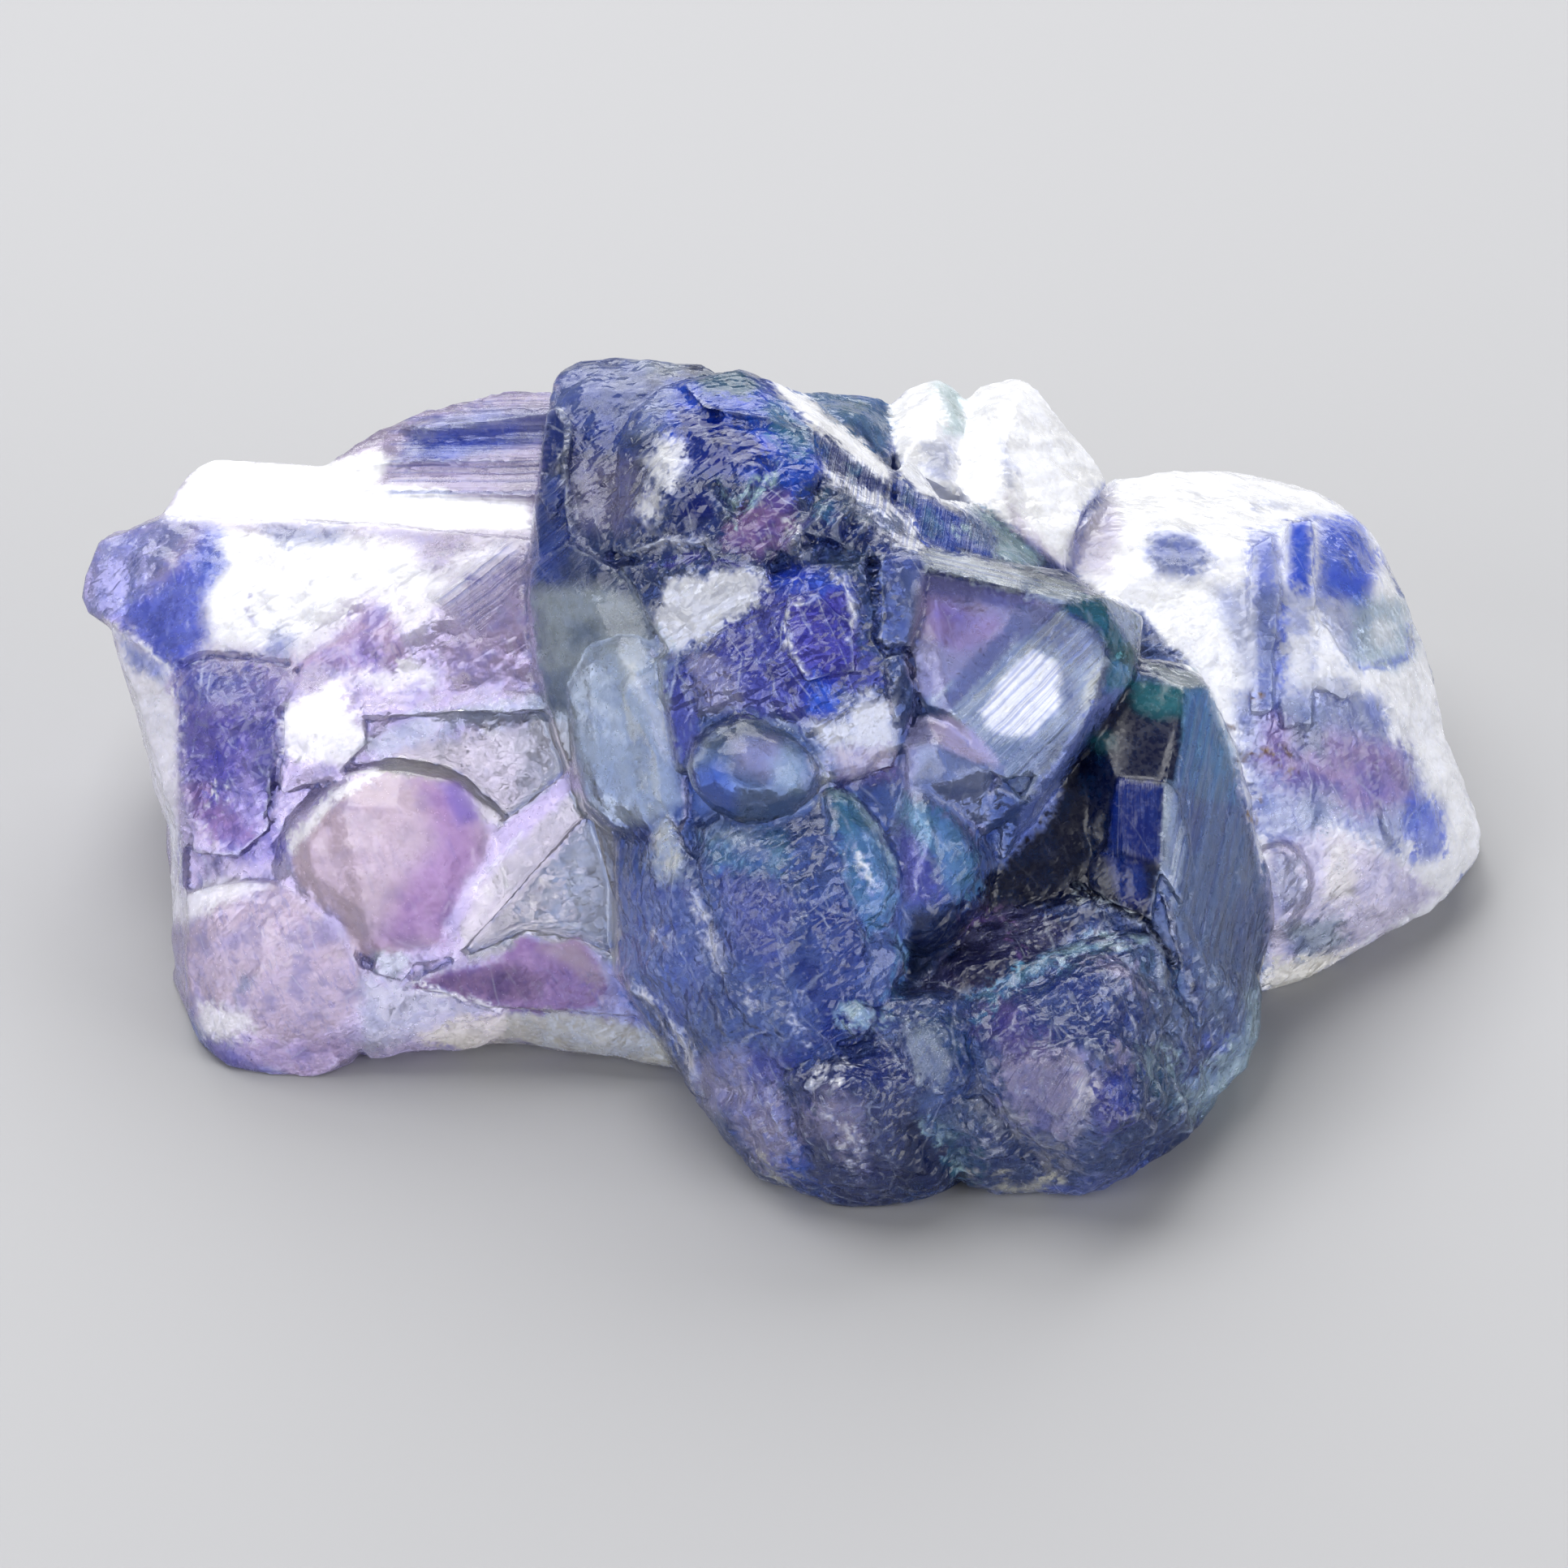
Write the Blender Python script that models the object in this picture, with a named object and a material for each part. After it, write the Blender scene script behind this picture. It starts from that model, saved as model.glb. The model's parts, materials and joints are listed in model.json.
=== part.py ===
"""A hand specimen of intergrown fluorite: one solid of many crystals, cleavage blocks and ledges.

The stone is drawn the way it is looked at, from the front and a little above. A corner is given as
(right, up, near), in millimetres: right and up lie in the plane of the view, and near points to the viewer.
Corners that only the back or the base shows are given as the stone stands: (x, y, z), y to the back, z up.
Each crystal is the convex hull of its corners, so its faces are flat, and all of them are joined in one solid.
"""

import math

import bmesh
import bpy
from mathutils import Euler, Matrix, Vector

# Driving dimensions, in millimetres unless a comment says otherwise.
MM = 0.001
VIEW_ELEVATION = math.radians(35.0)
# The lowest point of the front foot in the view, which is where the stone touches the ground first.
FOOT_UP = -18.1
FOOT_NEAR = -2.0
# The middle of the finished stone's base, as it stands.
MIDDLE_X = -0.05
MIDDLE_Y = 19.72
GROUND_BLOCK = 90.0
# Corners nearer than this to each other are one corner.
WELD = 0.003
# How much narrower a crystal is at its root than where it shows.
ROOT_TAPER = 0.92
# The two ways that a crystal goes to its root: away from the viewer, and straight down.
INWARD = Vector((0.0, math.cos(VIEW_ELEVATION), -math.sin(VIEW_ELEVATION)))
DOWN = Vector((0.0, 0.0, -1.0))

FLUORITE_COLOUR = (0.33, 0.36, 0.66, 1.0)
FLUORITE_ROUGHNESS = 0.12
FLUORITE_IOR = 1.434
FLUORITE_TRANSMISSION = 0.8


def standing(right, up, near):
    """The place, as the stone stands, of a corner that is drawn in the view."""
    rise = up - FOOT_UP
    reach = near - FOOT_NEAR
    y = rise * math.sin(VIEW_ELEVATION) - reach * math.cos(VIEW_ELEVATION)
    z = rise * math.cos(VIEW_ELEVATION) + reach * math.sin(VIEW_ELEVATION)
    return Vector((right, y, z))


def grown(corners, depth, taper=ROOT_TAPER, toward=INWARD):
    """A crystal that shows the given corners and is rooted depth millimetres behind them, where it tapers."""
    shown = [standing(*corner) for corner in corners]
    middle = sum(shown, Vector()) / len(shown)
    rooted = [middle + (point - middle) * taper + toward * depth for point in shown]
    return shown + rooted


def placed(corners):
    """A block whose corners are all given as the stone stands."""
    return [Vector(corner) for corner in corners]


# The solid heart of the stone, inside everything that shows.
HEART = {
    "left": placed([
        (-25.3, 18, -1.5), (-24.3, 13.6, -1.5), (-22, 11.6, -1.5), (-19, 11.4, -1.5), (-9, 13, -1.5),
        (-7, 36, -1.5), (-21, 35, -1.5), (-25.8, 29, -1.5), (-25.3, 17.5, 8), (-20, 13.2, 8), (-9, 14, 9),
        (-8, 36, 13), (-22, 34, 11), (-26.2, 28, 9), (-24, 24, 14.2), (-19, 22, 15.2), (-9, 20, 16),
        (-9, 30, 17), (-20, 30, 15.5),
    ]),
    "seam": placed([
        (-13, 14.5, -1.5), (-2, 12, -1.5), (-2, 34, -1.5), (-13, 34, -1.5), (-13, 16, 7), (-2, 14, 7),
        (-2, 34, 9), (-13, 34, 9),
    ]),
    "middle": placed([
        (-5.4, 11.8, -1.5), (-2, 7.2, -1.5), (2, 2.4, -1.5), (14, 3, -1.5), (18.6, 11, -1.5),
        (19.6, 16, -1.5), (18, 36, -1.5), (-8, 36, -1.5), (-6, 9.0, 9), (4, 2.8, 8), (14, 5, 7.5),
        (18.6, 12, 8), (18, 35, 11), (-8, 35, 14),
        (-7, 18, 18.6), (-6, 25, 21.6), (0, 24, 22), (3, 29.5, 19.6), (12, 20, 15.6), (16, 18, 12),
        (14, 31, 13.6),
    ]),
    "right": placed([
        (19.8, 17.6, -1.5), (23.6, 21, -1.5), (26.8, 25, -1.5), (27.6, 30, -1.5), (23.4, 35.5, -1.5),
        (15, 36.5, -1.5), (14, 20, -1.5), (20.4, 18.6, 6.5), (25, 22.6, 6), (28, 26.6, 5),
        (27, 32, 6.4), (21, 36, 8.5), (15, 36, 10.5), (16, 26, 13), (22, 27, 11.6), (25.4, 29, 9),
        (17, 32.6, 13.4),
    ]),
    "rear": placed([
        (-24, 32, -1.5), (-22, 36.8, -1.5), (-12, 38.6, -1.5), (4, 39.4, -1.5), (14, 38.8, -1.5),
        (21, 37.4, -1.5), (24.4, 33, -1.5), (-24, 32, 5), (-21, 35.6, 7), (-12, 37, 8.6), (4, 38, 8),
        (14, 37, 7), (20, 35.6, 6.5), (23.4, 33, 5), (0, 25, 10),
    ]),
}

# What lies just under the crystals that show, and closes the seams between them.
BED = {
    "left": grown([
        (-26.0, 4.5, -11.3), (-25.6, -4.0, -11.0), (-25.0, -9.0, -11.8), (-19.0, -11.4, -11.0),
        (-8.0, -11.0, -10.5), (-5.0, -9.0, -8.6), (-5.0, 9.0, -9.0), (-12.0, 10.4, -11.0),
        (-24.0, 9.0, -13.2), (-18.0, 0.0, -8.1), (-20.0, 4.6, -9.4), (-14.0, -7.5, -8.2),
        (-22.0, -1.0, -8.0), (-12.0, 3.0, -8.1), (-24.6, 2.0, -9.1), (-21.0, -8.0, -8.4), (-22.0, 3.8, -8.7),
    ], 8),
    "middle": grown([
        (-9.8, 12.0, -6.4), (-9.2, 16.4, -9.0), (-9.9, 5.0, -5.8), (-7.0, -3.0, -4.8), (-6.4, -8.4, -4.8),
        (-3.6, -12.4, -4.0), (-4.0, 15.4, -6.4), (-6.4, 8.6, -2.5), (-4.8, 4.0, -1.0), (1.0, 14.0, -4.0),
        (0.5, 9.6, 0.0), (3.9, 9.0, 0.2), (3.0, 11.3, -1.7), (5.0, 10.0, -1.4), (5.1, 4.0, 0.5),
        (5.0, 0.0, 0.5), (4.6, -4.0, 0.8), (3.6, -9.2, 0.8), (0.2, -11.4, 0.8), (-4.0, -8.0, -0.6),
        (-1.0, 2.0, 1.4), (1.0, 5.0, 1.8), (1.0, -5.0, 2.8),
    ], 9),
    "staircase": grown([
        (1.5, 13.0, -3.5), (3.5, 11.5, -2.3), (5.5, 10.0, -1.8), (4.6, 13.0, -7.2), (1.8, 15.2, -9.0),
        (7.0, 11.0, -7.6), (9.0, 9.6, -7.4), (6.6, 9.8, -4.6), (10.5, 8.8, -8.6), (4.0, 8.0, 0.2),
        (6.0, 8.0, -1.2),
    ], 7),
    "shards": grown([
        (0.2, 9.6, 0.8), (0.5, 11.6, -0.4), (1.4, 12.4, -1.2), (3.5, 11.7, -1.4), (4.2, 9.0, 0.7),
        (4.0, 6.6, 1.4), (1.0, 8.4, 1.5), (2.2, 9.6, 1.0),
    ], 5),
    "saddle": grown([
        (2.8, 0.8, 1.3), (5.6, 1.2, 1.0), (5.8, -1.0, 0.9), (4.6, -2.8, 1.2), (3.4, -0.8, 1.7),
        (4.4, -0.2, 1.6),
    ], 6),
    "right": grown([
        (4.8, 2.0, -0.8), (11.8, 0.8, -3.4), (15.0, 4.4, -4.8), (17.4, 3.6, -4.6), (19.6, 0.0, -6.6),
        (19.9, -6.0, -8.4), (19.4, -10.0, -8.2), (16.6, -5.0, -2.2), (16.6, -10.0, -3.4),
        (5.0, -8.0, -2.2), (9.0, -4.0, -3.8), (16.0, -2.0, -2.6),
    ], 8),
    "feet": grown([
        (0.6, -11.2, 1.4), (3.9, -9.6, 1.6), (8.0, -9.4, 0.4), (8.6, -12.4, 1.4), (5.0, -13.0, 1.8),
        (16.6, -9.0, -1.6), (17.0, -13.0, -3.6), (12.0, -16.2, -1.4), (7.0, -16.0, -0.8),
        (2.0, -16.2, -0.6), (-2.6, -13.6, -3.0), (-1.5, -12.4, -0.4), (1.5, -12.2, 1.6),
    ], 8),
    "far": grown([
        (12.0, 8.0, -11.6), (13.0, 11.0, -15.6), (10.0, 11.0, -13.0), (19.0, -8.4, -14.0),
        (26.0, -4.0, -17.0), (27.0, 3.0, -18.4), (24.0, 10.0, -18.0), (16.0, 11.4, -16.4),
        (18.0, 3.0, -11.4), (20.0, 0.0, -11.0), (12.0, 0.0, -8.0), (17.0, -8.0, -11.0),
    ], 8),
}

# The pale lobe on the left: broad cleavage faces round a swelling, over a foot.
LEFT_LOBE = {
    "shoulder": grown([
        (-30.2, 8.0, -15), (-30.0, 9.1, -15.3), (-29.4, 10.4, -15.6), (-28.4, 10.8, -15.7),
        (-26.6, 11.5, -15.6), (-18.8, 11.2, -12.2), (-6, 9.6, -8.2), (-6, 5.0, -6.6),
        (-20.7, 5.1, -8.6), (-26.2, 5.0, -10.2), (-28.9, 6.8, -13),
        (-29.9, 7.4, -14.6), (-23.5, 8.6, -10.6),
    ], 11, 0.86),
    "flank": grown([
        (-28.9, 6.7, -13.2), (-26.2, 5.0, -10.3), (-25.9, 1.0, -9.9), (-25.7, -2.6, -9.9),
        (-28.2, 4.4, -14.8), (-27.1, 0.8, -14.4), (-26.5, -1.8, -14.4),
    ], 9, 0.8),
    "low_flank": grown([
        (-25.9, 0.0, -10.0), (-25.7, -4.4, -9.7), (-25.6, -8.0, -10.4), (-26.4, -1.8, -14.2),
        (-26.25, -5.4, -14.2), (-26.1, -8.0, -13.0),
    ], 8, 0.9),
    "violet_face": grown([
        (-26.1, 4.8, -10.1), (-21, 5.1, -8.4), (-21.6, 1.5, -7.2), (-22.1, -2.0, -7.6),
        (-23.5, -3.1, -8.2), (-25.4, -3.0, -9.4), (-25.9, 0.0, -9.8),
    ], 8),
    "crackled_knob": grown([
        (-20.7, 5.0, -8.2), (-18.3, 4.2, -7.4), (-17.9, 1.8, -6.4), (-19.2, 0.3, -6.0),
        (-21.5, -0.4, -6.8), (-21.8, 2.2, -7.2), (-19.9, 2.2, -5.9),
    ], 7),
    "wedge": grown([
        (-20.8, 5.1, -8.4), (-17.2, 8.4, -9.2), (-12.2, 9.9, -8.6), (-7, 9.4, -7.6), (-7, 4.2, -6.4),
        (-15.6, 3.5, -6.8), (-18.2, 4.0, -7.2), (-16.2, 6.6, -7.4),
    ], 8),
    "window_sill": grown([
        (-18.2, 3.7, -7.2), (-7.4, 4.1, -6.0), (-7.4, 3.2, -5.6), (-18.0, 2.9, -6.6),
    ], 6),
    "upper_window": grown([
        (-18.2, 3.4, -7.6), (-6.6, 3.4, -6.8), (-6.6, 0.0, -6.9), (-12, -2.0, -7.2), (-18.4, 0.2, -7.8),
    ], 6),
    "swelling": grown([
        (-21.6, -2.5, -7.3), (-20.4, -1.0, -6.6), (-18.6, 0.45, -6.0), (-14.5, 0.25, -5.5),
        (-13.2, -0.6, -5.6), (-12.9, -1.7, -5.8), (-11.6, -1.9, -6.2), (-14.0, -7.2, -6.4),
        (-16.9, -7.7, -6.7), (-19.0, -6.6, -7.0), (-21.4, -4.7, -7.8), (-18.6, -2.6, -4.9),
        (-15.6, -3.6, -4.7),
    ], 8),
    "rib": grown([
        (-6.6, 2.6, -5.6), (-12.0, -1.6, -5.5), (-14.3, -4.8, -5.7), (-14.2, -7.6, -6.4),
        (-13.5, -6.2, -6.5), (-12.4, -3.6, -6.2), (-6.6, 0.8, -6.2),
    ], 5),
    "lower_window": grown([
        (-6.4, 0.6, -6.9), (-13.2, -4.8, -7.1), (-13.9, -7.8, -7.6), (-5.4, -9.4, -7.6), (-5.0, -2.0, -6.8),
    ], 6),
    "pink_ledge": grown([
        (-16.2, -8.5, -6.9), (-13.9, -7.5, -6.7), (-12.2, -7.2, -6.4), (-11.0, -6.3, -6.2),
        (-9.8, -6.9, -6.1), (-8.7, -6.7, -6.2), (-5.6, -8.0, -6.5), (-5.6, -9.9, -7.2), (-12, -9.6, -7.4),
    ], 5),
    "foot": grown([
        (-25.4, -4.6, -9.6), (-21.6, -4.3, -7.6), (-19.4, -5.7, -6.7), (-18.4, -7.4, -6.6),
        (-18.0, -10.6, -8.6), (-18.6, -11.9, -9.6), (-20.3, -12.6, -9.9), (-23.8, -12.1, -10.2),
        (-25.0, -11.1, -10.8), (-25.8, -8.4, -11.6), (-22.4, -8.0, -7.4), (-20.6, -9.6, -7.8),
    ], 9, 0.9),
    "keel": grown([
        (-18.6, -7.8, -7.2), (-16.0, -8.5, -7.1), (-12.0, -9.6, -7.8), (-11.8, -10.7, -9.6),
        (-13.0, -11.15, -9.9), (-15.2, -11.4, -9.8), (-17.8, -11.8, -9.6), (-18.6, -10.6, -8.6),
        (-16.2, -9.8, -7.6),
    ], 8, 0.9),
    "thin_keel": grown([
        (-13.4, -9.2, -7.9), (-12.4, -10.9, -9.9), (-11.2, -10.75, -10.0), (-8.0, -11.3, -9.8),
        (-5.0, -11.95, -9.2), (-3.9, -12.3, -8.8), (-4.6, -10.3, -7.8), (-9.0, -9.8, -7.8),
    ], 8, 0.92),
    "notched_chip": grown([
        (-17.4, -7.1, -6.2), (-16.4, -7.2, -6.0), (-15.9, -7.9, -6.2), (-16.4, -8.5, -6.5),
        (-17.6, -8.0, -6.6),
    ], 3),
    "top_plateau": grown([
        (-27.0, 11.4, -15.8), (-26.2, 12.4, -16.8), (-25.6, 13.4, -17.8), (-24.8, 14.0, -18.6),
        (-22.6, 13.75, -18.4), (-20.4, 13.45, -18.2), (-18.4, 13.4, -17.8), (-18.8, 11.3, -12.9),
        (-7, 10.2, -9.0), (-7, 13, -13),
    ], 10, 0.94, DOWN),
    "mid_ledge": grown([
        (-18.2, 12.6, -14.6), (-7, 12.3, -10.8), (-7, 13.6, -12.8), (-17.4, 13.9, -16.6),
        (-19.0, 13.4, -16.8),
    ], 8, 0.95, DOWN),
    "rear_ledge": grown([
        (-20.4, 13.4, -17.0), (-19.0, 14.05, -17.4), (-17.3, 15.35, -18.8), (-15.8, 16.0, -19.2),
        (-14.0, 16.5, -19.4), (-11.6, 17.0, -19), (-8.0, 16.9, -18.2), (-7.0, 13.8, -13.0),
        (-16.2, 13.9, -15.2),
    ], 12, 0.94, DOWN),
    "rear_crest": grown([
        (-16.6, 15.5, -17.6), (-13.2, 16.6, -17.6), (-8.0, 17.0, -16.6), (-8.0, 16.2, -15.0),
        (-15.4, 15.3, -16.0),
    ], 6, 0.94, DOWN),
}

# The blue middle: an upright slab, the crystal in front of it, and what grew on its foot.
MIDDLE = {
    "upright_slab": grown([
        (-10.6, 9.0, -5.2), (-10.4, 14.5, -6.8), (-10.1, 16.0, -7.8), (-9.8, 17.2, -9),
        (-9.5, 17.7, -9.8), (-8.8, 18.2, -10.2), (-7.0, 18.35, -10.6), (-5.0, 18.25, -10.2),
        (-4.2, 17.9, -9.6), (-3.0, 17.75, -8.8), (-5.3, 17.0, -7.8), (-6.6, 16.0, -6.2),
        (-7.2, 13.0, -4.4), (-7.6, 10, -3.2), (-8.6, 16.6, -7.2),
    ], 14, 0.94, DOWN),
    "edge_blade": grown([
        (-10.4, 14.4, -6.2), (-10.1, 16.0, -6.5), (-9.6, 16.2, -6.2), (-9.2, 15.6, -5.5),
        (-9.2, 14.0, -5.1), (-9.9, 11.3, -4.7), (-10.5, 12.4, -5.4),
    ], 3),
    "left_wall": grown([
        (-10.9, 9.3, -5.2), (-10.85, 7.2, -5.0), (-10.6, 5.0, -5.0), (-9.6, 3.0, -4.6), (-8.9, 0.8, -4.2),
        (-8.4, -1.2, -4.4), (-7.0, -2.3, -3.8), (-5.2, 2.0, -1.4), (-5.2, 5.4, -1.2), (-6.9, 9.0, -1.8),
        (-9.3, 10.4, -3.4), (-8.9, 6.0, -2.9),
    ], 9),
    "upper_crystal": grown([
        (-1.9, 17.8, -7.2), (-5.2, 17.05, -6.3), (-6.5, 16.0, -4.8), (-7.0, 14.2, -3.6), (-7.4, 10, -2.0),
        (-5.0, 9.2, -0.6), (-1.2, 9.0, 1.0), (0.6, 10.8, 0.4), (1.5, 13.4, -1.6), (1.35, 15.1, -3.2),
        (-0.8, 17.25, -6.4), (-2.9, 14.6, -1.4), (-4.6, 12.0, -0.4), (-1.4, 12.2, 0.3),
    ], 12, 0.9),
    "crown_facet": grown([
        (-2.0, 17.7, -6.6), (-4.4, 17.15, -5.6), (-3.4, 16.1, -3.2), (-0.6, 15.7, -2.6), (0.9, 14.9, -2.8),
        (-0.7, 17.1, -6.0),
    ], 5),
    "brow": grown([
        (-7.0, 11.4, -1.9), (-4.4, 11.2, -0.3), (-2.2, 11.6, 0.4), (-0.4, 13.5, -0.6), (-2.6, 13.8, -0.9),
        (-5.2, 14.0, -1.9),
    ], 4),
    "pale_window": grown([
        (-7.0, 9.3, -1.5), (-4.8, 5.4, 0.3), (-2.0, 6.6, 1.2), (-0.5, 7.9, 1.7), (-0.8, 9.2, 1.5),
        (-2.8, 9.7, 0.6), (-5.0, 9.6, -0.4),
    ], 7),
    "violet_body": grown([
        (-5.3, 5.3, 0.2), (-2.0, 6.9, 1.5), (0.1, 8.1, 2.1), (1.2, 9.2, 1.9), (2.8, 9.4, 1.6),
        (3.9, 8.6, 1.4), (4.2, 6.0, 1.7), (5.0, 4.4, 1.7), (5.2, 2.6, 1.6), (4.6, 0.8, 1.6),
        (1.9, 0.0, 2.4), (-1.6, 2.9, 2.5), (-4.4, 0.6, 1.0), (-4.9, 3.0, 0.6), (1.4, 5.6, 3.1),
        (-1.0, 4.6, 2.7),
    ], 8),
    "violet_step": grown([
        (0.1, 8.0, 2.6), (1.4, 8.1, 2.9), (3.0, 7.0, 2.9), (3.0, 4.8, 3.1), (1.0, 4.4, 3.5),
        (0.2, 6.2, 3.2),
    ], 3),
    "pale_column": grown([
        (-9.0, 6.4, -3.6), (-7.2, 7.0, -2.2), (-5.3, 5.2, -0.8), (-4.7, 2.0, -0.3), (-4.2, -1.4, 0.2),
        (-5.4, -2.5, -0.6), (-6.6, -2.3, -1.8), (-8.5, -0.7, -3.2), (-8.9, 1.0, -3.4), (-7.0, 4.0, -0.9),
        (-6.4, 0.0, -0.4),
    ], 7),
    "white_chip": grown([
        (-5.7, -2.0, -0.5), (-5.0, -1.4, 0.3), (-4.3, -2.6, 0.8), (-4.3, -3.6, 1.0), (-4.8, -4.8, 0.4),
        (-5.7, -3.8, -0.2),
    ], 3),
    "draped_body": grown([
        (-3.6, -2.0, 1.6), (-1.5, -1.5, 2.4), (1.8, -0.25, 2.2), (3.1, -0.7, 2.0), (4.1, -2.2, 1.9),
        (4.85, -3.6, 1.8), (4.8, -5.0, 2.0), (4.3, -6.3, 2.4), (4.1, -9.4, 2.0), (2.5, -10.9, 2.4),
        (1.2, -11.5, 2.4), (-0.2, -12.2, 2.0), (-3.2, -4.8, 2.6), (1.7, -4.8, 4.5), (-0.6, -5.4, 4.3),
        (0.4, -9.0, 4.3), (-2.4, -3.0, 2.9),
    ], 10),
    "teal_cap": grown([
        (1.9, -0.2, 2.6), (3.2, -0.8, 2.4), (4.15, -2.2, 2.3), (4.9, -3.6, 2.1), (4.8, -5.2, 2.4),
        (4.4, -6.2, 2.7), (3.0, -5.4, 3.9), (2.2, -2.4, 3.9), (1.9, -1.0, 3.4),
    ], 4),
    "lower_lap": grown([
        (4.4, -6.5, 2.5), (5.0, -7.2, 2.2), (5.2, -8.0, 1.6), (4.1, -9.4, 2.4), (3.1, -9.0, 3.4),
        (3.2, -7.0, 3.6),
    ], 4),
    "inner_plate": grown([
        (0.4, -3.0, 4.0), (1.9, -2.4, 4.0), (2.2, -3.2, 4.0), (1.9, -4.6, 4.4), (0.6, -5.2, 4.8),
        (0.1, -4.0, 4.3),
    ], 2.5),
    "apron": grown([
        (-7.1, -2.3, -3.6), (-7.15, -5.0, -3.8), (-7.05, -8.2, -3.9), (-6.0, -9.6, -3.6),
        (-4.5, -11.9, -3.6), (-3.5, -13.3, -3.2), (-1.6, -13.2, 0.2), (0.2, -12.1, 2.0),
        (-3.0, -4.4, 2.4), (-4.6, -2.2, 0.8), (-4.8, -8.0, 0.6), (-2.4, -9.6, 2.2),
    ], 9),
    "side_crystal": grown([
        (5.0, 0.1, 1.2), (5.8, 0.5, 1.0), (7.6, -1.1, 0.8), (8.4, -3.0, 0.5), (8.3, -4.4, 0.4),
        (7.7, -6.0, 0.5), (6.0, -7.0, 1.0), (5.2, -6.6, 1.4), (4.8, -4.0, 1.5), (6.4, -2.2, 2.7),
        (6.8, -4.2, 2.4),
    ], 7),
    "lit_crystal": grown([
        (5.8, 2.95, 0.8), (7.4, 3.0, 0.5), (8.4, 2.0, 0.6), (9.4, 0.7, 0.4), (9.1, 0.1, 0.6),
        (8.4, -1.8, 0.4), (7.0, -1.6, 1.2), (5.3, 0.0, 1.7), (5.2, 1.6, 1.6), (6.6, 1.75, 2.3),
        (8.6, 0.7, 1.8), (7.2, 0.2, 2.3),
    ], 6),
}

# The staircase of parallel crystals down the right shoulder. Each has a level top and a steep front.
STAIRCASE = {
    "top_tread": grown([
        (-1.0, 17.45, -6.6), (0.9, 16.8, -8.6), (1.8, 16.15, -8.4), (4.7, 13.5, -6.9), (4.65, 13.0, -5.3),
        (1.35, 15.2, -3.9), (1.6, 13.7, -2.9), (4.5, 12.1, -4.2), (3.6, 14.4, -7.6),
    ], 7, 0.96, DOWN),
    "second_tread": grown([
        (1.5, 13.65, -2.7), (2.6, 13.2, -5.2), (3.8, 12.4, -5.2), (3.7, 12.1, -3.1), (2.9, 12.15, -1.6),
        (2.9, 10.9, -0.9), (1.6, 12.4, -1.5),
    ], 6, 0.96, DOWN),
    "third_tread": grown([
        (3.3, 12.25, -2.6), (3.9, 12.4, -4.6), (5.3, 11.55, -4.5), (5.85, 10.5, -3.2), (5.6, 10.2, -1.6),
        (4.9, 10.6, -1.0), (3.4, 11.2, -1.0),
    ], 6, 0.96, DOWN),
    "fourth_tread": grown([
        (3.05, 11.6, -0.7), (3.8, 11.4, -2.6), (4.5, 11.1, -2.6), (4.7, 10.55, -0.4), (4.7, 9.9, 0.3),
        (3.2, 10.2, 0.6),
    ], 5, 0.96, DOWN),
    "fifth_tread": grown([
        (4.4, 10.95, -1.2), (5.0, 10.9, -2.6), (6.15, 10.25, -2.4), (6.1, 9.95, -0.8), (4.8, 10.3, 0.2),
        (4.8, 9.6, 0.7), (6.0, 9.4, 0.3),
    ], 5, 0.96, DOWN),
    "far_tread": grown([
        (5.0, 13.85, -7.4), (5.6, 13.75, -9.2), (6.7, 12.3, -8.6), (6.6, 12.1, -6.3), (5.0, 13.1, -5.9),
        (4.8, 11.6, -4.6), (6.6, 10.8, -5.0),
    ], 6, 0.96, DOWN),
    "far_second": grown([
        (6.6, 12.25, -7.0), (7.4, 12.2, -9.2), (7.9, 11.7, -8.8), (7.8, 11.6, -6.8), (6.4, 11.9, -5.9),
        (6.2, 10.1, -4.3), (7.9, 10.0, -5.2),
    ], 6, 0.96, DOWN),
    "far_third": grown([
        (7.8, 12.1, -9.0), (8.1, 12.2, -10.4), (9.0, 11.0, -9.4), (9.0, 10.6, -7.4), (7.8, 11.5, -6.9),
        (7.7, 9.8, -4.7), (8.95, 9.5, -5.3),
    ], 6, 0.96, DOWN),
    "pale_step": grown([
        (8.2, 12.0, -10.6), (9.2, 11.2, -11.2), (11.0, 9.4, -9.6), (10.9, 9.1, -7.4), (9.0, 9.8, -6.4),
        (8.9, 10.8, -8.4),
    ], 6, 0.96, DOWN),
    "upper_blade": grown([
        (4.0, 9.9, 0.9), (6.1, 9.6, 0.4), (5.9, 7.4, 0.9), (5.4, 5.9, 1.3), (5.1, 5.4, 1.6),
        (4.5, 5.3, 2.2), (4.1, 6.4, 2.1), (4.05, 8.4, 1.9),
    ], 5),
    "lower_blade": grown([
        (4.4, 5.2, 2.2), (5.0, 5.3, 2.0), (5.6, 4.2, 1.3), (5.4, 3.0, 1.4), (4.8, 2.6, 2.2),
        (4.5, 3.8, 2.5),
    ], 4),
}

# Small upright shards where the staircase meets the violet body: (right, up, width, height).
SHARD_NEAR = 1.0
SHARD_DEPTH = 3.0
SHARD_LEAN = 0.35
SHARDS = [
    (0.6, 10.6, 0.7, 1.7), (1.5, 11.4, 0.9, 1.8), (2.4, 11.3, 0.9, 2.0), (3.1, 10.6, 0.7, 1.5),
    (1.1, 9.9, 0.8, 1.3), (2.2, 9.3, 0.9, 1.6), (3.2, 9.2, 0.7, 2.3), (3.7, 8.3, 0.5, 2.6),
    (2.6, 8.0, 0.6, 2.4),
]

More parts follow.
